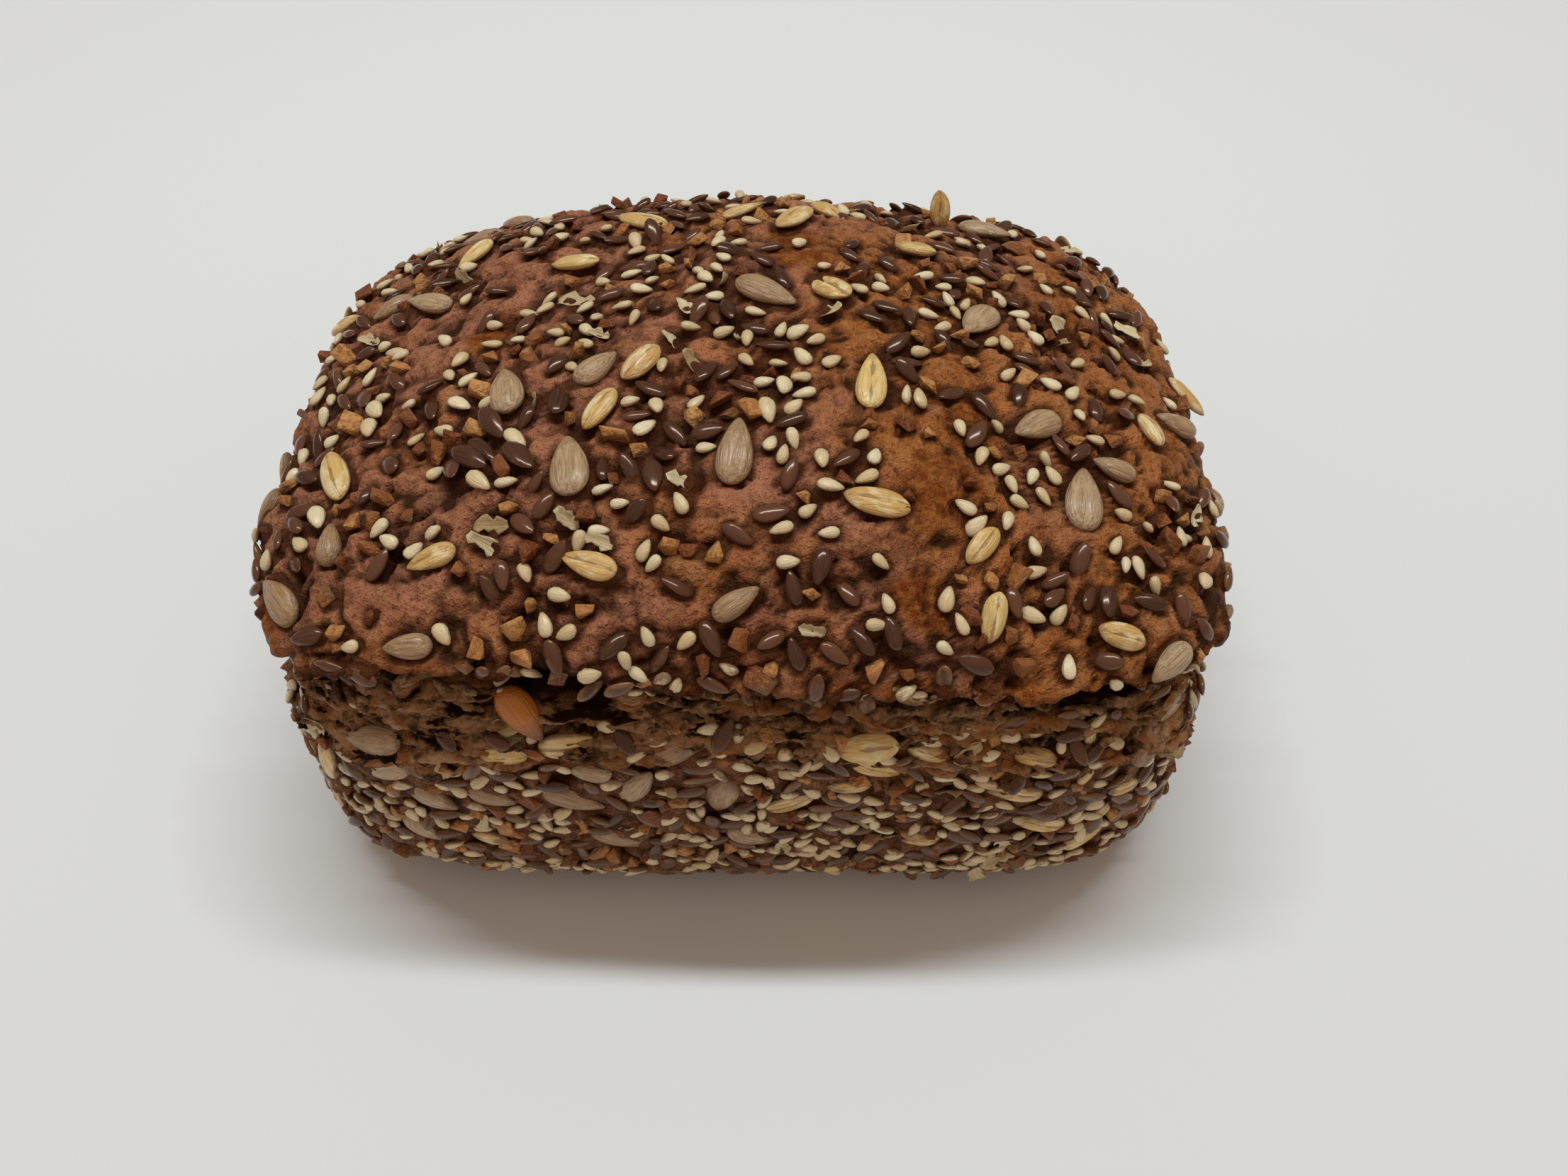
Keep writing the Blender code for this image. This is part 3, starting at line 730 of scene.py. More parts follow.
def make_torn_crumb(dents, material):
    """The layered crumb in the tear: a fine strip that lies in the crust's hollow and dives under it."""
    columns, rows = TORN_CELLS
    points, relief, hollow = [], [], []
    for column in range(columns + 1):
        side = (2 * column / columns - 1) * TORN_REACH
        lip, foot = tear_edges(front_point(side, TEAR_FOOT).x)
        low = foot - TORN_HEM - TORN_MARGIN
        for row in range(rows + 1):
            height = low + (lip + TORN_MARGIN - low) * row / rows
            here = front_point(side, height)
            along = front_point(side + 0.01, height) - here
            outward = along.cross(front_point(side, height + 0.5 * MM) - here).normalized()
            ragged = here.z + 0.9 * MM * noise.noise(here / (3 * MM))
            shown = torn_hem(here) * (1 - smooth_step(lip - 0.8 * MM, lip + 0.8 * MM, ragged))
            layers = layer_height(here)
            level = here + outward * (lump_height(here) - TEAR_DEPTH * tear_share(here))
            dent = dents.depth_at(level)
            under = max(undercut(here), 0.0)
            points.append(level + outward * (layers * shown - dent - under - TORN_DIVE * (1 - shown)))
            # relief and hollow steer painted shade in the clefts between layers and in dents and undercuts
            relief.append(0.5 + layers / (4.0 * MM))
            hollow.append(min((dent + 0.6 * under) / (3.5 * MM), 1.0))
    faces = grid_faces(columns + 1, rows + 1)
    mesh = bpy.data.meshes.new("torn_crumb")
    mesh.from_pydata(points, [], faces)
    mesh.shade_smooth()
    set_attributes(mesh, relief=relief, hollow=hollow)
    add_piece("torn_crumb", mesh, material)
    return BVHTree.FromPolygons(points, faces)


def seed_shape(rings, sides, width_of, edge=1.0, ridges=0, ridge_depth=0.0, crease=0.0, hook=0.0):
    """Points and faces of a seed within the cube from -1 to 1, with its tip at +X and its back up.

    width_of gives its half width at each place from -1 to 1 along it. An edge above 1 makes the rim
    sharper, ridges run lengthwise, and a crease sinks the middle of its back.
    """
    along = [-math.cos(math.pi * ring / (rings + 1)) for ring in range(rings + 2)]
    widest = max(width_of(place) for place in along)
    points = [(-1.0, -hook, 0.0)]
    for place in along[1:-1]:
        half = width_of(place) / widest
        for side in range(sides):
            angle = 2 * math.pi * side / sides
            ridge = 1 + ridge_depth * math.cos(ridges * angle) * (1 - place * place)
            across = math.cos(angle) * half * ridge
            up = math.copysign(abs(math.sin(angle)) ** edge, math.sin(angle)) * half * ridge
            if up > 0:
                up -= crease * math.exp(-((across / 0.22) ** 2)) * (1 - place ** 4)
            points.append((place, across + hook * place ** 3, up))
    points.append((1.0, hook, 0.0))
    last = len(points) - 1
    faces = [(0, 1 + (side + 1) % sides, 1 + side) for side in range(sides)]
    for ring in range(rings - 1):
        low = 1 + ring * sides
        for side in range(sides):
            after = (side + 1) % sides
            faces.append((low + side, low + after, low + sides + after, low + sides + side))
    low = 1 + (rings - 1) * sides
    faces += [(low + side, low + (side + 1) % sides, last) for side in range(sides)]
    return np.array(points), faces


def grit_shape(draw):
    """Points and faces of an angular chip of malt, within the cube from -1 to 1."""
    chunk = bmesh.new()
    corners = list(itertools.product((-0.75, 0.75), repeat=3))
    for corner in draw.sample(corners, draw.choice((6, 7, 8))):
        bmesh.ops.create_vert(chunk, co=[side + draw.uniform(-0.4, 0.4) for side in corner])
    for _ in range(3):
        bmesh.ops.create_vert(chunk, co=Vector([draw.gauss(0, 1) for _ in range(3)]).normalized())
    hull = bmesh.ops.convex_hull(chunk, input=chunk.verts)
    inner = [item for item in hull["geom_interior"] if isinstance(item, bmesh.types.BMVert)]
    bmesh.ops.delete(chunk, geom=inner, context="VERTS")
    bmesh.ops.bevel(chunk, geom=chunk.edges[:], offset=0.13, segments=2, affect="EDGES", profile=0.6,
                    clamp_overlap=True)
    bmesh.ops.recalc_face_normals(chunk, faces=chunk.faces)
    points = np.array([vert.co for vert in chunk.verts])
    faces = [tuple(vert.index for vert in face.verts) for face in chunk.faces]
    chunk.free()
    return points, faces


def husk_shape(draw):
    """Points and faces of a thin, curled and ragged flake, within the cube from -1 to 1."""
    columns, rows = 8, 6
    curl, twist = draw.uniform(0.5, 1.3), draw.uniform(-0.5, 0.5)
    ends = [draw.uniform(0.35, 1.0) for _ in range(2 * columns)]
    points = []
    for sheet, column, row in itertools.product((0.0, -0.10), range(columns), range(rows)):
        x = 2 * column / (columns - 1) - 1
        y = 2 * row / (rows - 1) - 1
        y *= ends[2 * column + (y > 0)] * (1 - 0.6 * x ** 4)
        z = curl * y * y + 0.35 * curl * x * x + twist * x * y - 0.3
        points.append((x * (1 + 0.1 * ends[row]), y, z + sheet))
    count = columns * rows
    top = grid_faces(columns, rows)
    bottom = [tuple(point + count for point in reversed(face)) for face in top]
    rim = [column * rows for column in range(columns)]
    rim += [(columns - 1) * rows + row for row in range(1, rows)]
    rim += [column * rows + rows - 1 for column in range(columns - 2, -1, -1)]
    rim += list(range(rows - 2, 0, -1))
    edge = [(first, first + count, second + count, second) for first, second in zip(rim, rim[1:] + rim[:1])]
    return np.array(points), top + bottom + edge


def crumb_shape(draw):
    """Points and faces of a ragged shred of torn crumb, within the cube from -1 to 1."""
    points, faces = seed_shape(9, 10, lambda place: (1 - place ** 4) ** 0.5)
    shift = Vector([draw.uniform(-50, 50) for _ in range(3)])
    swell = [1 + 0.9 * noise.noise(Vector(point) * Vector((2.6, 1.6, 1.6)) + shift) for point in points]
    bend = draw.uniform(-0.4, 0.4)
    points = points * np.array(swell)[:, None]
    points[:, 2] += bend * points[:, 0] ** 2
    return points, faces


def oat_width(place):
    """The half width of an oat grain along its length."""
    return max(1 - abs(place) ** 2.4, 0.0) ** 0.62 * (1 - 0.10 * place)


def kernel_width(place):
    """The half width of a sunflower kernel: round behind, and drawn out to a tip."""
    return math.sqrt(max(1 - place * place, 0.0)) * (1 - 0.34 * place - 0.10 * max(place, 0) ** 2)


def sesame_width(place):
    """The half width of a sesame seed."""
    return math.sqrt(max(1 - place * place, 0.0)) * (1 - 0.36 * place)


def linseed_width(place):
    """The half width of a linseed."""
    return max(1 - place * place, 0.0) ** 0.6 * (1 - 0.22 * place)


SHAPES = {
    "sunflower": [seed_shape(15, 20, kernel_width, edge=1.1, ridges=9, ridge_depth=0.02, crease=cut)
                  for cut in (0.0, 0.10, 0.2)],
    "oat": [seed_shape(15, 20, width_of, crease=cut, hook=hook) for width_of, cut, hook in (
        (oat_width, 0.6, 0.0), (oat_width, 0.3, 0.12), (kernel_width, 0.45, 0.05), (oat_width, 0.0, -0.1))],
    "sesame": [seed_shape(6, 8, sesame_width, edge=1.1, hook=hook) for hook in (0.0, 0.12)],
    "linseed": [seed_shape(7, 10, linseed_width, edge=1.2, hook=hook) for hook in (0.0, 0.10)],
    "grit": [grit_shape(random.Random(number)) for number in range(14)],
    "husk": [husk_shape(random.Random(number)) for number in range(7)],
    "crumb": [crumb_shape(random.Random(number)) for number in range(9)],
}

# How much a seed's own sizes vary, how high its lowest point stays over the floor, and how far it may
# move to its seat
SHAPE_SPREAD = 0.09
SEED_CLEAR = 0.02 * MM
SEAT_REACH = 6 * MM

# How far a seed on the walls keeps to the bare form's level while the crust swells round it, and how
# much film of crust creeps over a seed on the crown and on the walls
WALL_LEVELLING = 0.7
CROWN_FILM = (-0.08, 0.08)
WALL_FILM = (0.08, 0.36)


def find_seat(seed, trees):
    """Where a seed's middle rests: on the crust, or on the torn crumb where that stands further out."""
    if not seed.seated:
        return seed.place
    seats = [tree.find_nearest(seed.place)[0] for tree in trees]
    seats = [seat for seat in seats if (seat - seed.place).length < SEAT_REACH]
    seat = max(seats, key=seed.outward.dot, default=seed.place)
    if not seed.on_crown:
        risen = (seat - seed.place).dot(seed.outward)
        seat = seat - seed.outward * WALL_LEVELLING * min(max(risen, -0.6 * MM), 1.0 * MM)
    return seat


def make_seeds(kind, seeds, trees, material, draw):
    """One piece that holds every seed of a kind, each seated on the crust."""
    name, _, (crown_seat, wall_seat), tip_spread = KINDS[kind]
    points, faces, tints, films, local = [], [], [], [], []
    for seed in seeds:
        shape, shape_faces = draw.choice(SHAPES[kind])
        heading, outward = seed.heading, seed.outward
        tip = Matrix.Rotation(math.radians(draw.gauss(0, tip_spread)), 3, heading.cross(outward))
        roll = Matrix.Rotation(math.radians(draw.gauss(0, tip_spread)), 3, heading)
        heading, outward = (tip @ heading).normalized(), (roll @ tip @ outward).normalized()
        across = outward.cross(heading).normalized()
        grow = [draw.uniform(1 - SHAPE_SPREAD, 1 + SHAPE_SPREAD) / 2 for _ in range(2)]
        raised = (crown_seat if seed.on_crown else wall_seat) * seed.thickness + seed.lift
        origin = find_seat(seed, trees) + outward * raised + heading * seed.stand
        turn = (heading * seed.length / 2, across * seed.width * grow[0], outward * seed.thickness * grow[1])
        placed = shape @ np.array(turn) + np.array(origin)
        placed[:, 2] += max(SEED_CLEAR - placed[:, 2].min(), 0.0)
        start = len(tints)
        faces += [tuple(start + corner for corner in face) for face in shape_faces]
        points.append(placed)
        local.append(shape)
        tints += [draw.random() if seed.tint is None else seed.tint] * len(shape)
        films += [draw.uniform(*(CROWN_FILM if seed.on_crown else WALL_FILM))] * len(shape)
    mesh = bpy.data.meshes.new(name)
    mesh.from_pydata(np.concatenate(points).tolist(), [], faces)
    mesh.shade_smooth()
    set_attributes(mesh, tint=tints, film=films)
    stored = mesh.attributes.new("local", "FLOAT_VECTOR", "POINT")
    stored.data.foreach_set("vector", np.concatenate(local).ravel())
    add_piece(name, mesh, material)


class Room:
    """Remembers where seeds lie, in cells, so that the nearest ones are quickly found."""

    def __init__(self, seeds):
        self.cells = {}
        for seed in seeds:
            self.add(seed)

    def add(self, seed):
        """Takes the room of one seed."""
        for place, radius in seed.beads():
            cell = tuple(math.floor(value / ROOM_CELL) for value in place)
            self.cells.setdefault(cell, []).append((place, radius))

    def gap(self, seed):
        """The gap from a seed to its nearest neighbour: below 0 where they would overlap."""
        least = ROOM_CELL
        for place, radius in seed.beads():
            x, y, z = (math.floor(value / ROOM_CELL) for value in place)
            for cell in itertools.product((x - 1, x, x + 1), (y - 1, y, y + 1), (z - 1, z, z + 1)):
                for other, other_radius in self.cells.get(cell, ()):
                    least = min(least, (place - other).length - radius - other_radius)
        return least


def seen_small_seeds(tree, room):
    """The small seeds that the photo shows clearly, the oat that stands up, and the malted kernel."""
    seeds = []
    for kind, sightings in SMALL_SIGHTINGS.items():
        for sighting in sightings:
            seed = sighted(tree, kind, sighting, SMALL_RANGE)
            gap = room.gap(seed)
            if gap > SEEN_OVERLAP:
                seed.lift = max(-gap, 0.0) * STACK_LIFT[0]
                seeds.append(seed)
                room.add(seed)
    foot, _ = seen_at(tree, STANDING_OAT)
    oat = Seed("oat", foot, (LENS_PLACE - foot).normalized(), UP + Vector((-0.08, 0, 0)), 0.7)
    oat.width *= 1.25
    oat.stand = 0.4 * oat.length
    tip, blunt = (seen_at(tree, pixel)[0] for pixel in (MALT_KERNEL[:2], MALT_KERNEL[2:]))
    outward = Vector((0.1, -1, 0.45)).normalized()
    kernel = Seed("sunflower", (tip + blunt) / 2 + outward * 0.9 * MM, outward, tip - blunt, 1.05)
    kernel.tint = MALT_TINT
    kernel.thickness *= 1.3
    kernel.seated = False
    return seeds + [oat, kernel]


def scatter_seeds(form, tree, room):
    """The small seeds all over: in loose clusters on the crown, and crowded on the walls and base."""
    draw = random.Random(SCATTER_DRAW)
    zones = ([], [], [])
    for face in form.faces:
        above = face.calc_center_median().z > CROWN_FOOT
        zones[0 if above else 2 if face.normal.z < -CROWN_FACING else 1].append(face)
    bare_spots = [(seen_at(tree, pixel)[0], radius) for pixel, radius in BARE_SPOTS]
    seeds = []
    for zone, faces in enumerate(zones):
        areas = running_areas(faces)
        left = {kind: counts[zone] for kind, *counts in SCATTER}
        for _ in range(SCATTER_TRIES[zone]):
            if not any(left.values()):
                break
            kind = draw.choices(list(left), weights=list(left.values()))[0]
            face = draw.choices(faces, cum_weights=areas)[0]
            corners = [vert.co for vert in face.verts]
            across, along = draw.random(), draw.random()
            place = corners[0].lerp(corners[1], across).lerp(corners[3].lerp(corners[2], across), along)
            cluster = noise.noise(place / CLUSTER_WIDTH + CLUSTER_SHIFT)
            share = max(smooth_step(-0.25, 0.4, cluster), CLUSTER_SHARE) if zone == 0 else 1.0
            torn = tear_share(place) if place.z > TEAR_FOOT else 0.8 * torn_hem(place)
            bare = max(torn, patch_share(place, bare_spots))
            if draw.random() > share * (1 - BARENESS * bare):
                continue
            angle = draw.gauss(0, WALL_HEADING_SPREAD) if zone == 1 else draw.uniform(-math.pi, math.pi)
            if draw.random() < 0.5:
                angle += math.pi
            level = UP.cross(face.normal).normalized() if zone != 2 else Vector((1, 0, 0))
            heading = Matrix.Rotation(angle, 3, face.normal) @ level
            size = draw.uniform(*SIZE_RANGES.get(kind, SEED_RANGE))
            seed = Seed(kind, place, face.normal.copy(), heading, size)
            gap = room.gap(seed)
            if gap < MOST_OVERLAP[zone]:
                continue
            seed.lift = -0.3 * seed.thickness if zone == 2 else max(-gap, 0.0) * STACK_LIFT[zone]
            seeds.append(seed)
            room.add(seed)
            left[kind] -= 1
    return seeds


def crumb_shreds(form):
    """Ragged shreds of crumb that stand out of the tear, along its level layers and its lip."""
    draw = random.Random(SHRED_DRAW)
    cavern = Vector((CAVERNS[0][0], -HALF_DEPTH, CAVERNS[0][1]))
    weights = [face.calc_area() * tear_share(face.calc_center_median())
               * ((face.calc_center_median() - cavern).length > SHRED_CLEAR) for face in form.faces]
    shreds = []
    for face in draw.choices(form.faces[:], weights=weights, k=SHRED_COUNT):
        level = UP.cross(face.normal).normalized()
        heading = Matrix.Rotation(draw.gauss(0, 0.25), 3, face.normal) @ level
        corners = [vert.co for vert in face.verts]
        place = corners[0].lerp(corners[2], draw.random())
        shreds.append(Seed("crumb", place, face.normal.copy(), heading, draw.uniform(*SHRED_RANGE)))
    return shreds


class Shader:
    """A material's nodes, made one call at a time."""

    def __init__(self, name, **skin):
        self.material = bpy.data.materials.new(name)
        self.material.use_nodes = True
        self.tree = self.material.node_tree
        self.skin = self.tree.nodes["Principled BSDF"]
        self.surface(**skin)

    def put(self, socket, value):
        """Links a socket to an output, or gives it a plain value."""
        if isinstance(value, bpy.types.NodeSocket):
            self.tree.links.new(value, socket)
        else:
            socket.default_value = value

    def surface(self, **skin):
        """Sets inputs of the surface by their names, written with _ for a space."""
        for name, value in skin.items():
            self.put(self.skin.inputs[name.replace("_", " ")], value)

    def add(self, kind, inputs, **settings):
        """A node of a kind, with its inputs by number or name."""
        node = self.tree.nodes.new("ShaderNode" + kind)
        for name, value in settings.items():
            setattr(node, name, value)
        for name, value in inputs.items():
            self.put(node.inputs[name], value)
        return node

    def attribute(self, name, output="Fac"):
        """An attribute of the mesh."""
        return self.add("Attribute", {}, attribute_name=name).outputs[output]

    def place(self, stretch=(1, 1, 1), source=None):
        """Where a point is, with each axis stretched."""
        source = source or self.add("TexCoord", {}).outputs["Object"]
        return self.add("Mapping", {"Vector": source, "Scale": stretch}).outputs["Vector"]

    def noise(self, width, detail=3.0, roughness=0.55, vector=None, distortion=0.0):
        """Noise from about 0 to 1 whose swellings are about so wide."""
        inputs = {"Vector": vector or self.place(), "Scale": 1 / width, "Detail": detail,
                  "Roughness": roughness, "Distortion": distortion}
        return self.add("TexNoise", inputs).outputs["Fac"]

    def steps(self, value, low, high, to_low=0.0, to_high=1.0):
        """A value carried from one range to another, and kept within it."""
        inputs = {"Value": value, "From Min": low, "From Max": high, "To Min": to_low, "To Max": to_high}
        return self.add("MapRange", inputs, clamp=True).outputs["Result"]

    def mix(self, share, *colours):
        """Two colours mixed by a share."""
        first, second = (colour if isinstance(colour, bpy.types.NodeSocket) else (*colour, 1)
                         for colour in colours)
        return self.add("Mix", {0: share, 6: first, 7: second}, data_type="RGBA").outputs[2]

    def layer(self, under, over, value, low, high, least=0.0, most=1.0):
        """A colour laid over another, from its least to its most share as a value goes from low to high."""
        return self.mix(self.steps(value, low, high, least, most), under, over)

    def maths(self, operation, first, second=0.0):
        """A sum, product or other result of two values."""
        return self.add("Math", {0: first, 1: second}, operation=operation).outputs[0]

    def bump(self, height, distance, normal=None):
        """A surface bent by a height."""
        inputs = {"Height": height, "Distance": distance, "Strength": 1.0}
        if normal:
            inputs["Normal"] = normal
        return self.add("Bump", inputs).outputs["Normal"]


def crust_material():
    """Baked crust: purple-brown to orange-brown, finely speckled, with a rougher greyish tear; painted shade
    in its hollows, low parts and round the seeds, and painted light on its raised parts.
    """
    shader = Shader("crust", Specular_IOR_Level=0.24, Specular_Tint=CRUST_GLOSS)
    x, _, z = shader.add("SeparateXYZ", {"Vector": shader.place()}).outputs
    wide = shader.noise(30 * MM, detail=2)
    side = shader.steps(shader.maths("ADD", x, shader.steps(wide, 0.3, 0.7, -0.07, 0.07)), -0.03, 0.05)
    skin = shader.mix(side, PURPLE_CRUST, ORANGE_CRUST)
    mottle = shader.steps(shader.noise(6 * MM, detail=4), 0.38, 0.62)
    skin = shader.mix(shader.maths("MULTIPLY", mottle, 0.5), skin, shader.mix(side, DARK_PURPLE, RED_CRUST))
    glow = shader.noise(11 * MM, detail=3, distortion=0.5)
    skin = shader.layer(skin, ORANGE_CRUMB, glow, 0.55, 0.7, 0.0, 0.6)
    skin = shader.layer(skin, shader.mix(mottle, WALL_CRUST, WALL_DARK), z, *WALL_FADE, 0.85, 0.0)
    grain = shader.noise(1.1 * MM, detail=4, roughness=0.75)
    skin = shader.layer(skin, TAN_SPECKS, grain, 0.52, 0.64, 0.0, 0.65)
    skin = shader.layer(skin, DARK_PURPLE, grain, 0.34, 0.45, 0.75, 0.0)
    sand = shader.noise(0.4 * MM, detail=2, roughness=0.6)
    skin = shader.layer(skin, TAN_SPECKS, sand, 0.56, 0.7, 0.0, 0.45)
    crumb = shader.steps(shader.noise(1.7 * MM, detail=4, roughness=0.65), 0.40, 0.62)
    torn = shader.attribute("torn")
    low, high = shader.mix(torn, RED_CRUST, DARK_CRUMB), shader.mix(torn, ORANGE_CRUMB, TAN_CRUMB)
    crumb = shader.mix(crumb, low, high)
    skin = shader.layer(skin, crumb, shader.attribute("rough"), 0.15, 0.75)
    relief = shader.attribute("relief")
    # Painted shade in the low parts of skin and crumb, and painted light on their raised parts
    skin = shader.layer(skin, RECESS_SHADE, relief, 0.0, 0.4, 0.9, 0.0)
    skin = shader.layer(skin, TAN_SPECKS, relief, 0.6, 1.0, 0.0, 0.4)
    # Painted shade round the seeds and between crowded ones
    skin = shader.layer(skin, SEED_GAP_SHADE, shader.attribute("socket"), 0.15, 0.85, 0.0, 0.85)
    # Painted shade in dents, cracks, grooves and under the lip
    skin = shader.layer(skin, RECESS_SHADE, shader.attribute("hollow"), 0.1, 0.8, 0.0, 0.95)
    fine = shader.bump(sand, 0.2 * MM, normal=shader.bump(grain, 0.65 * MM))
    coarse = shader.bump(shader.noise(2.2 * MM, detail=3, roughness=0.6), 0.8 * MM, normal=fine)
    shader.surface(Base_Color=skin, Normal=coarse)
    shader.surface(Roughness=shader.steps(shader.noise(3 * MM), 0.3, 0.7, 0.34, 0.62))
    return shader.material


def seed_material(name, pale, dark, streaks, streak_share, **skin):
    """A seed's husk, from pale to dark by seed, with streaks along it."""
    shader = Shader(name, **{"Roughness": 0.33, "Specular_IOR_Level": 0.5, **skin})
    tint = shader.attribute("tint")
    colour = shader.mix(tint, pale, dark)
    local = shader.attribute("local", "Vector")
    shift = shader.add("CombineXYZ", {"Z": shader.maths("MULTIPLY", tint, 91.0)}).outputs["Vector"]
    moved = shader.add("VectorMath", {0: local, 1: shift}, operation="ADD").outputs["Vector"]
    along = shader.place((0.8, 4.5, 4.5), moved)
    veins = shader.steps(shader.noise(1.0, detail=3, roughness=0.6, vector=along, distortion=0.3), 0.42, 0.68)
    colour = shader.mix(shader.maths("MULTIPLY", veins, streak_share), colour, streaks)
    parts = shader.add("SeparateXYZ", {"Vector": local}).outputs
    return shader, colour, parts, veins, moved


def filmed(shader, colour, parts, moved):
    """A seed's colour under the film of crust that creeps over it from its rim."""
    patches = shader.noise(1.2, detail=3, roughness=0.65, vector=moved)
    patches = shader.maths("ADD", patches, shader.attribute("film"))
    creep = shader.maths("SUBTRACT", patches, shader.maths("MULTIPLY", parts["Z"], 0.3))
    return shader.mix(shader.steps(creep, 0.55, 0.75, 0.0, 0.88), colour, FILM_COLOUR)


def sunflower_material():
    """Grey-tan kernel with fine lengthwise veins, browner at its tip; glossy amber where it is malted."""
    shader, colour, parts, veins, moved = seed_material(
        "sunflower", (0.54, 0.375, 0.215), (0.38, 0.215, 0.100), (0.22, 0.110, 0.045), 0.6)
    colour = shader.layer(colour, (0.22, 0.11, 0.05), parts["X"], 0.45, 1.0, 0.0, 0.6)
    blotch = shader.steps(shader.noise(0.5, detail=2, vector=moved), 0.5, 0.75, 0.0, 0.4)
    colour = shader.mix(blotch, colour, (0.27, 0.15, 0.075))
    pale = shader.noise(1.0, detail=3, vector=shader.place((0.5, 7, 7), moved))
    colour = shader.layer(colour, (0.66, 0.50, 0.33), pale, 0.55, 0.7, 0.0, 0.45)
    colour = filmed(shader, colour, parts, moved)
    malted = shader.steps(shader.attribute("tint"), 1.2, 1.8)
    malt = shader.mix(shader.steps(parts["X"], 0.1, 0.9), (0.50, 0.155, 0.016), (0.17, 0.042, 0.009))
    colour = shader.mix(malted, colour, malt)
    shader.surface(Base_Color=colour, Normal=shader.bump(veins, 0.12 * MM))
    shader.surface(Roughness=shader.steps(malted, 0.0, 1.0, 0.33, 0.14))
    return shader.material


def oat_material():
    """Golden grain with pale floury patches, darker along its crease, and a toasted tip."""
    shader, colour, parts, veins, moved = seed_material(
        "oat", (0.80, 0.56, 0.21), (0.62, 0.35, 0.10), (0.46, 0.22, 0.06), 0.3)
    flour = shader.steps(shader.noise(0.9, detail=3, roughness=0.6, vector=moved, distortion=0.4), 0.5, 0.62)
    colour = shader.mix(shader.maths("MULTIPLY", flour, 0.7), colour, (0.88, 0.74, 0.44))
    across = shader.maths("ABSOLUTE", parts["Y"])
    wander = shader.steps(shader.noise(0.7, vector=moved), 0.3, 0.7, -0.16, 0.16)
    crease = shader.steps(shader.maths("ADD", across, wander), 0.02, 0.10, 0.75, 0.0)
    top = shader.steps(parts["Z"], 0.0, 0.2)
    colour = shader.mix(shader.maths("MULTIPLY", crease, top), colour, (0.30, 0.14, 0.04))
    colour = shader.layer(colour, (0.36, 0.17, 0.05), parts["X"], 0.6, 1.0, 0.0, 0.75)
    colour = filmed(shader, colour, parts, moved)
    shader.surface(Base_Color=colour, Normal=shader.bump(veins, 0.10 * MM))
    return shader.material


def sesame_material():
    """Cream seed, a few of them toasted, with a browner tip and painted shade on its lower side."""
    shader, colour, parts, veins, moved = seed_material(
        "sesame", (0.84, 0.70, 0.45), (0.66, 0.48, 0.25), (0.52, 0.35, 0.17), 0.25)
    colour = shader.layer(colour, (0.42, 0.26, 0.11), parts["X"], 0.5, 1.0, 0.0, 0.7)
    # Painted shade on the seed's lower side, towards the crust
    low = shader.steps(parts["Z"], -0.2, 0.45, 0.55, 0.0)
    colour = shader.mix(low, colour, (0.38, 0.22, 0.09))
    colour = filmed(shader, colour, parts, moved)
    shader.surface(Base_Color=colour, Normal=shader.bump(veins, 0.05 * MM))
    return shader.material


def linseed_material():
    """Glossy dark brown seed with a thin paler rim."""
    shader, colour, parts, veins, moved = seed_material(
        "linseed", (0.125, 0.048, 0.026), (0.040, 0.014, 0.008), (0.170, 0.070, 0.036), 0.35,
        Roughness=0.18, Specular_IOR_Level=0.55, Specular_Tint=LINSEED_GLOSS)
    rim = shader.steps(shader.maths("ABSOLUTE", parts["Z"]), 0.0, 0.14, 0.7, 0.0)
    colour = shader.mix(rim, colour, (0.25, 0.10, 0.036))
    colour = filmed(shader, colour, parts, moved)
    shader.surface(Base_Color=colour)
    return shader.material


def grit_material():
    """Chips of malt, from reddish brown to orange and tan."""
    shader, colour, parts, veins, moved = seed_material(
        "grit", (0.60, 0.30, 0.10), (0.44, 0.14, 0.028), (0.25, 0.09, 0.03), 0.0,
        Specular_IOR_Level=0.4, Specular_Tint=WARM_GLOSS)
    dark = shader.steps(shader.attribute("tint"), 0.45, 0.8)
    colour = shader.mix(dark, colour, (0.17, 0.042, 0.014))
    blotch = shader.noise(0.9, detail=4, roughness=0.65, vector=moved)
    colour = shader.layer(colour, (0.26, 0.085, 0.025), blotch, 0.45, 0.62, 0.0, 0.7)
    colour = shader.layer(colour, (0.50, 0.24, 0.09), blotch, 0.3, 0.42, 0.5, 0.0)
    colour = filmed(shader, colour, parts, moved)
    rough = shader.noise(0.5, detail=3, roughness=0.6, vector=moved)
    shader.surface(Base_Color=colour, Normal=shader.bump(rough, 0.6 * MM))
    return shader.material


def husk_material():
    """Thin papery flakes, cream to straw brown."""
    shader, colour, parts, veins, moved = seed_material(
        "husk", (0.74, 0.62, 0.38), (0.42, 0.27, 0.12), (0.50, 0.36, 0.18), 0.5,
        Roughness=0.55, Specular_IOR_Level=0.3)
    shader.surface(Base_Color=colour, Normal=shader.bump(veins, 0.08 * MM))
    return shader.material


def crumb_material():
    """Torn crumb: greyish brown with tan edges."""
    shader = Shader("crumb", Roughness=0.8, Specular_IOR_Level=0.2)
    share = shader.steps(shader.noise(1.5 * MM, detail=4, roughness=0.65), 0.35, 0.68)
    colour = shader.mix(share, DARK_CRUMB, TAN_CRUMB)
    height = shader.noise(0.7 * MM, detail=4, roughness=0.7)
    shader.surface(Base_Color=colour, Normal=shader.bump(height, 0.4 * MM))
    return shader.material


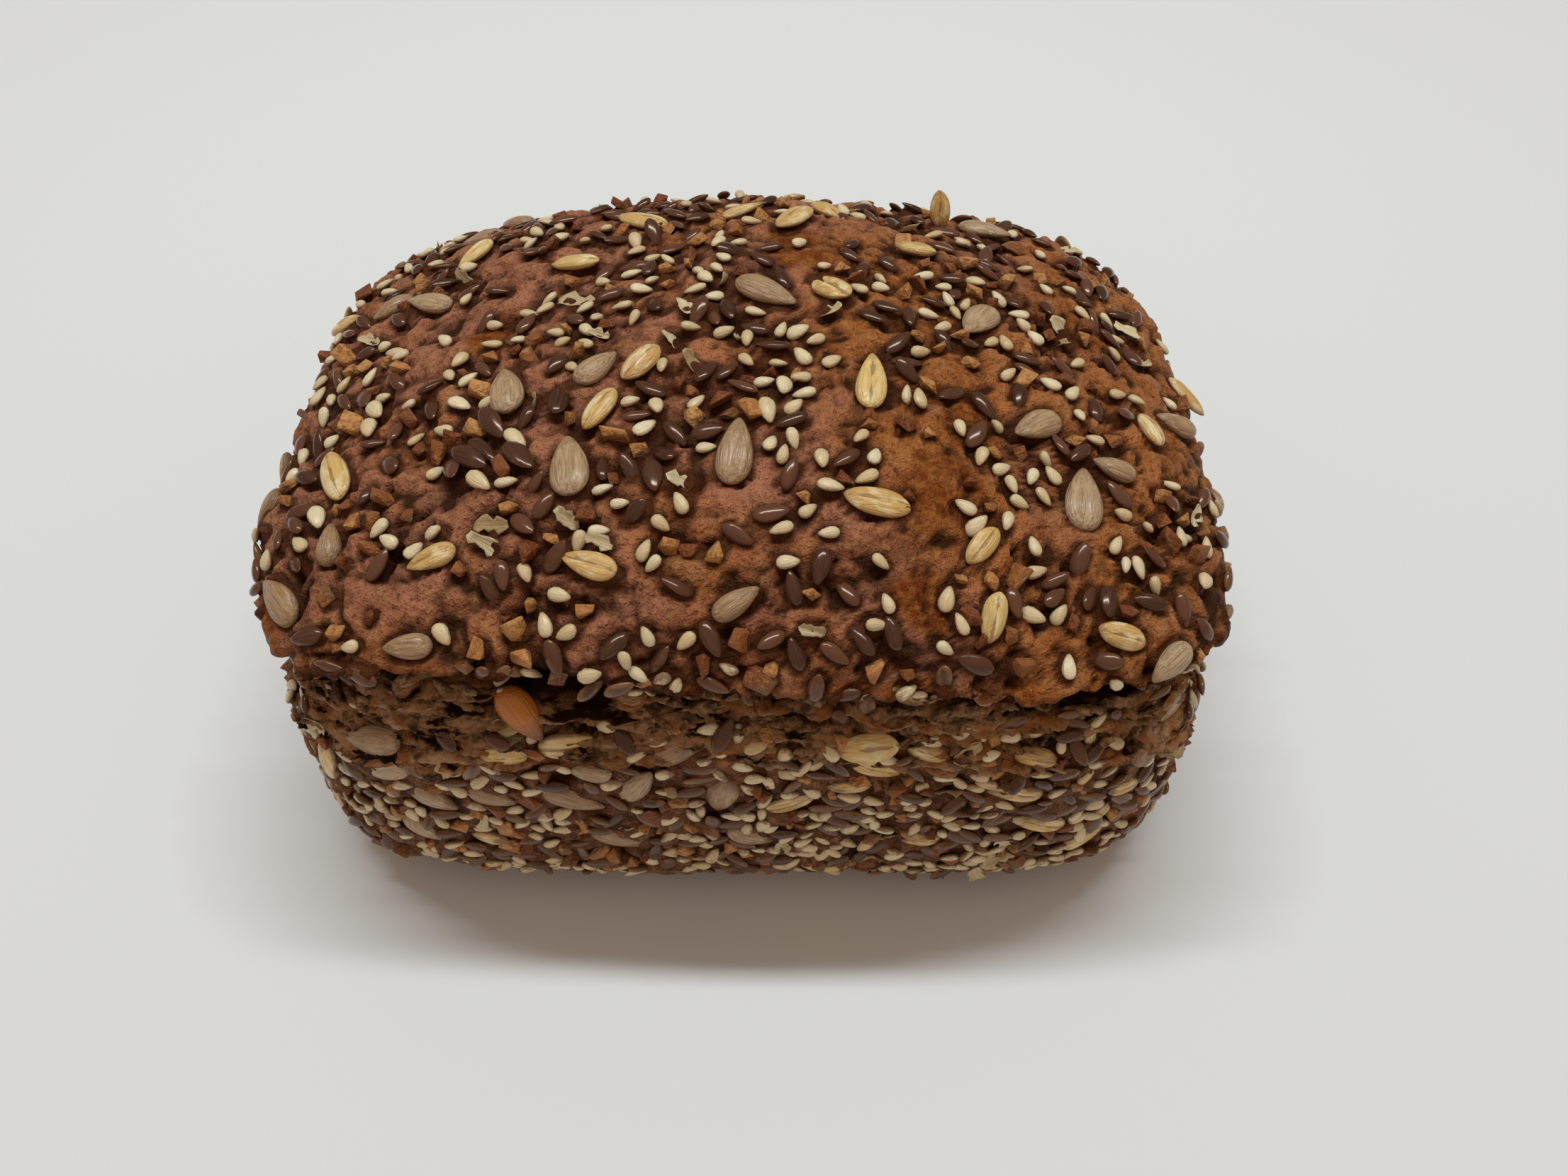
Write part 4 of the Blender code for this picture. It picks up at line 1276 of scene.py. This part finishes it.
def torn_material():
    """The tear's layers: tan on their outer edges, painted shade between them and in their dents, and orange
    in places.
    """
    shader = Shader("torn_crumb", Specular_IOR_Level=0.15, Specular_Tint=CRUST_GLOSS)
    grain = shader.noise(0.9 * MM, detail=5, roughness=0.7)
    mottle = shader.noise(3.5 * MM, detail=4, roughness=0.6)
    height = shader.maths("ADD", shader.attribute("relief"), shader.steps(grain, 0.3, 0.7, -0.2, 0.2))
    colour = shader.mix(shader.steps(mottle, 0.5, 0.6, 0.0, 0.75), TAN_CRUMB, ORANGE_CRUMB)
    colour = shader.layer(colour, WALL_DARK, mottle, 0.36, 0.47, 0.85, 0.0)
    level = shader.place((0.22, 0.22, 1.0))
    cleft = shader.noise(2.0 * MM, detail=4, roughness=0.65, vector=level, distortion=0.4)
    # Painted shadow lines along the layers, and painted shade in their low parts
    colour = shader.layer(colour, RECESS_SHADE, cleft, 0.41, 0.49, 1.0, 0.0)
    colour = shader.layer(colour, RECESS_SHADE, height, 0.30, 0.78, 1.0, 0.0)
    colour = shader.layer(colour, (0.60, 0.40, 0.24), cleft, 0.58, 0.66, 0.0, 0.6)
    # Painted shade in dents and under the lip
    colour = shader.layer(colour, RECESS_SHADE, shader.attribute("hollow"), 0.2, 0.75, 0.0, 0.95)
    fine = shader.bump(grain, 0.6 * MM, normal=shader.bump(cleft, 1.5 * MM))
    shader.surface(Base_Color=colour, Normal=fine)
    shader.surface(Roughness=shader.steps(mottle, 0.35, 0.6, 0.3, 0.75))
    return shader.material


def add_stage():
    """The pale level surface that the loaf stands on."""
    mesh = bpy.data.meshes.new("floor")
    corners = [(x * FLOOR_REACH, y * FLOOR_REACH, 0) for x, y in ((-1, -1), (1, -1), (1, 1), (-1, 1))]
    mesh.from_pydata(corners, [], [(0, 1, 2, 3)])
    shader = Shader("floor", Base_Color=FLOOR_COLOUR, Roughness=0.9, Specular_IOR_Level=0.1)
    mesh.materials.append(shader.material)
    add_object("floor", mesh)


def add_lights():
    """A long lamp above and a little behind, and soft light from all round, more of it from the front."""
    lamp = bpy.data.lights.new("lamp", "AREA")
    lamp.shape = "RECTANGLE"
    lamp.size, lamp.size_y = LAMP_SIZES
    lamp.energy = LAMP_POWER
    lamp.color = LAMP_COLOUR
    tilt = Matrix.Rotation(-math.atan2(LAMP_PLACE.y, LAMP_PLACE.z), 4, "X")
    add_object("lamp", lamp).matrix_world = Matrix.Translation(LAMP_PLACE) @ tilt
    world = bpy.data.worlds.new("world")
    world.use_nodes = True
    nodes, links = world.node_tree.nodes, world.node_tree.links
    way = nodes.new("ShaderNodeSeparateXYZ")
    links.new(nodes.new("ShaderNodeTexCoord").outputs["Generated"], way.inputs["Vector"])
    sky = nodes.new("ShaderNodeMix")
    sky.data_type = "RGBA"
    sky.inputs[6].default_value = (*HORIZON_COLOUR, 1)
    sky.inputs[7].default_value = (*ZENITH_COLOUR, 1)
    links.new(way.outputs["Z"], sky.inputs[0])
    links.new(sky.outputs[2], nodes["Background"].inputs["Color"])
    strength = nodes.new("ShaderNodeMath")
    strength.operation = "MULTIPLY_ADD"
    links.new(way.outputs["Y"], strength.inputs[0])
    strength.inputs[1].default_value = -FRONT_SHARE
    strength.inputs[2].default_value = 1.0
    links.new(strength.outputs[0], nodes["Background"].inputs["Strength"])
    bpy.context.scene.world = world


def add_camera():
    """The lens of the photo."""
    camera = bpy.data.cameras.new("camera")
    camera.sensor_fit = "HORIZONTAL"
    camera.sensor_width = SENSOR_WIDTH
    camera.lens = LENS_PIXELS / (2 * PHOTO_CENTRE[0]) * SENSOR_WIDTH
    camera.clip_start = 10 * MM
    camera_object = add_object("camera", camera)
    camera_object.matrix_world = Matrix.Translation(LENS_PLACE) @ sight_turn().to_4x4()
    bpy.context.scene.camera = camera_object


def main():
    """Builds the dressed loaf and what it is seen in."""
    guide = cube_grid(GUIDE_CELLS)
    shape_form(guide)
    tree = BVHTree.FromBMesh(guide)
    seeds = seen_seeds(tree)
    spread_seeds(guide, seeds)
    room = Room(seeds)
    seeds += seen_small_seeds(tree, room)
    seeds += scatter_seeds(guide, tree, room)
    dents = crust_dents(guide, tree)
    trees = [make_crust(dents, tree, seeds, crust_material()), make_torn_crumb(dents, torn_material())]
    seeds += crumb_shreds(guide)
    guide.free()
    materials = {
        "sunflower": sunflower_material, "oat": oat_material, "sesame": sesame_material,
        "linseed": linseed_material, "grit": grit_material, "husk": husk_material, "crumb": crumb_material,
    }
    for kind, material in materials.items():
        chosen = [seed for seed in seeds if seed.kind == kind]
        make_seeds(kind, chosen, trees, material(), random.Random(len(chosen)))
    add_stage()
    add_lights()
    add_camera()
    bpy.context.scene.view_settings.view_transform = "Standard"


main()
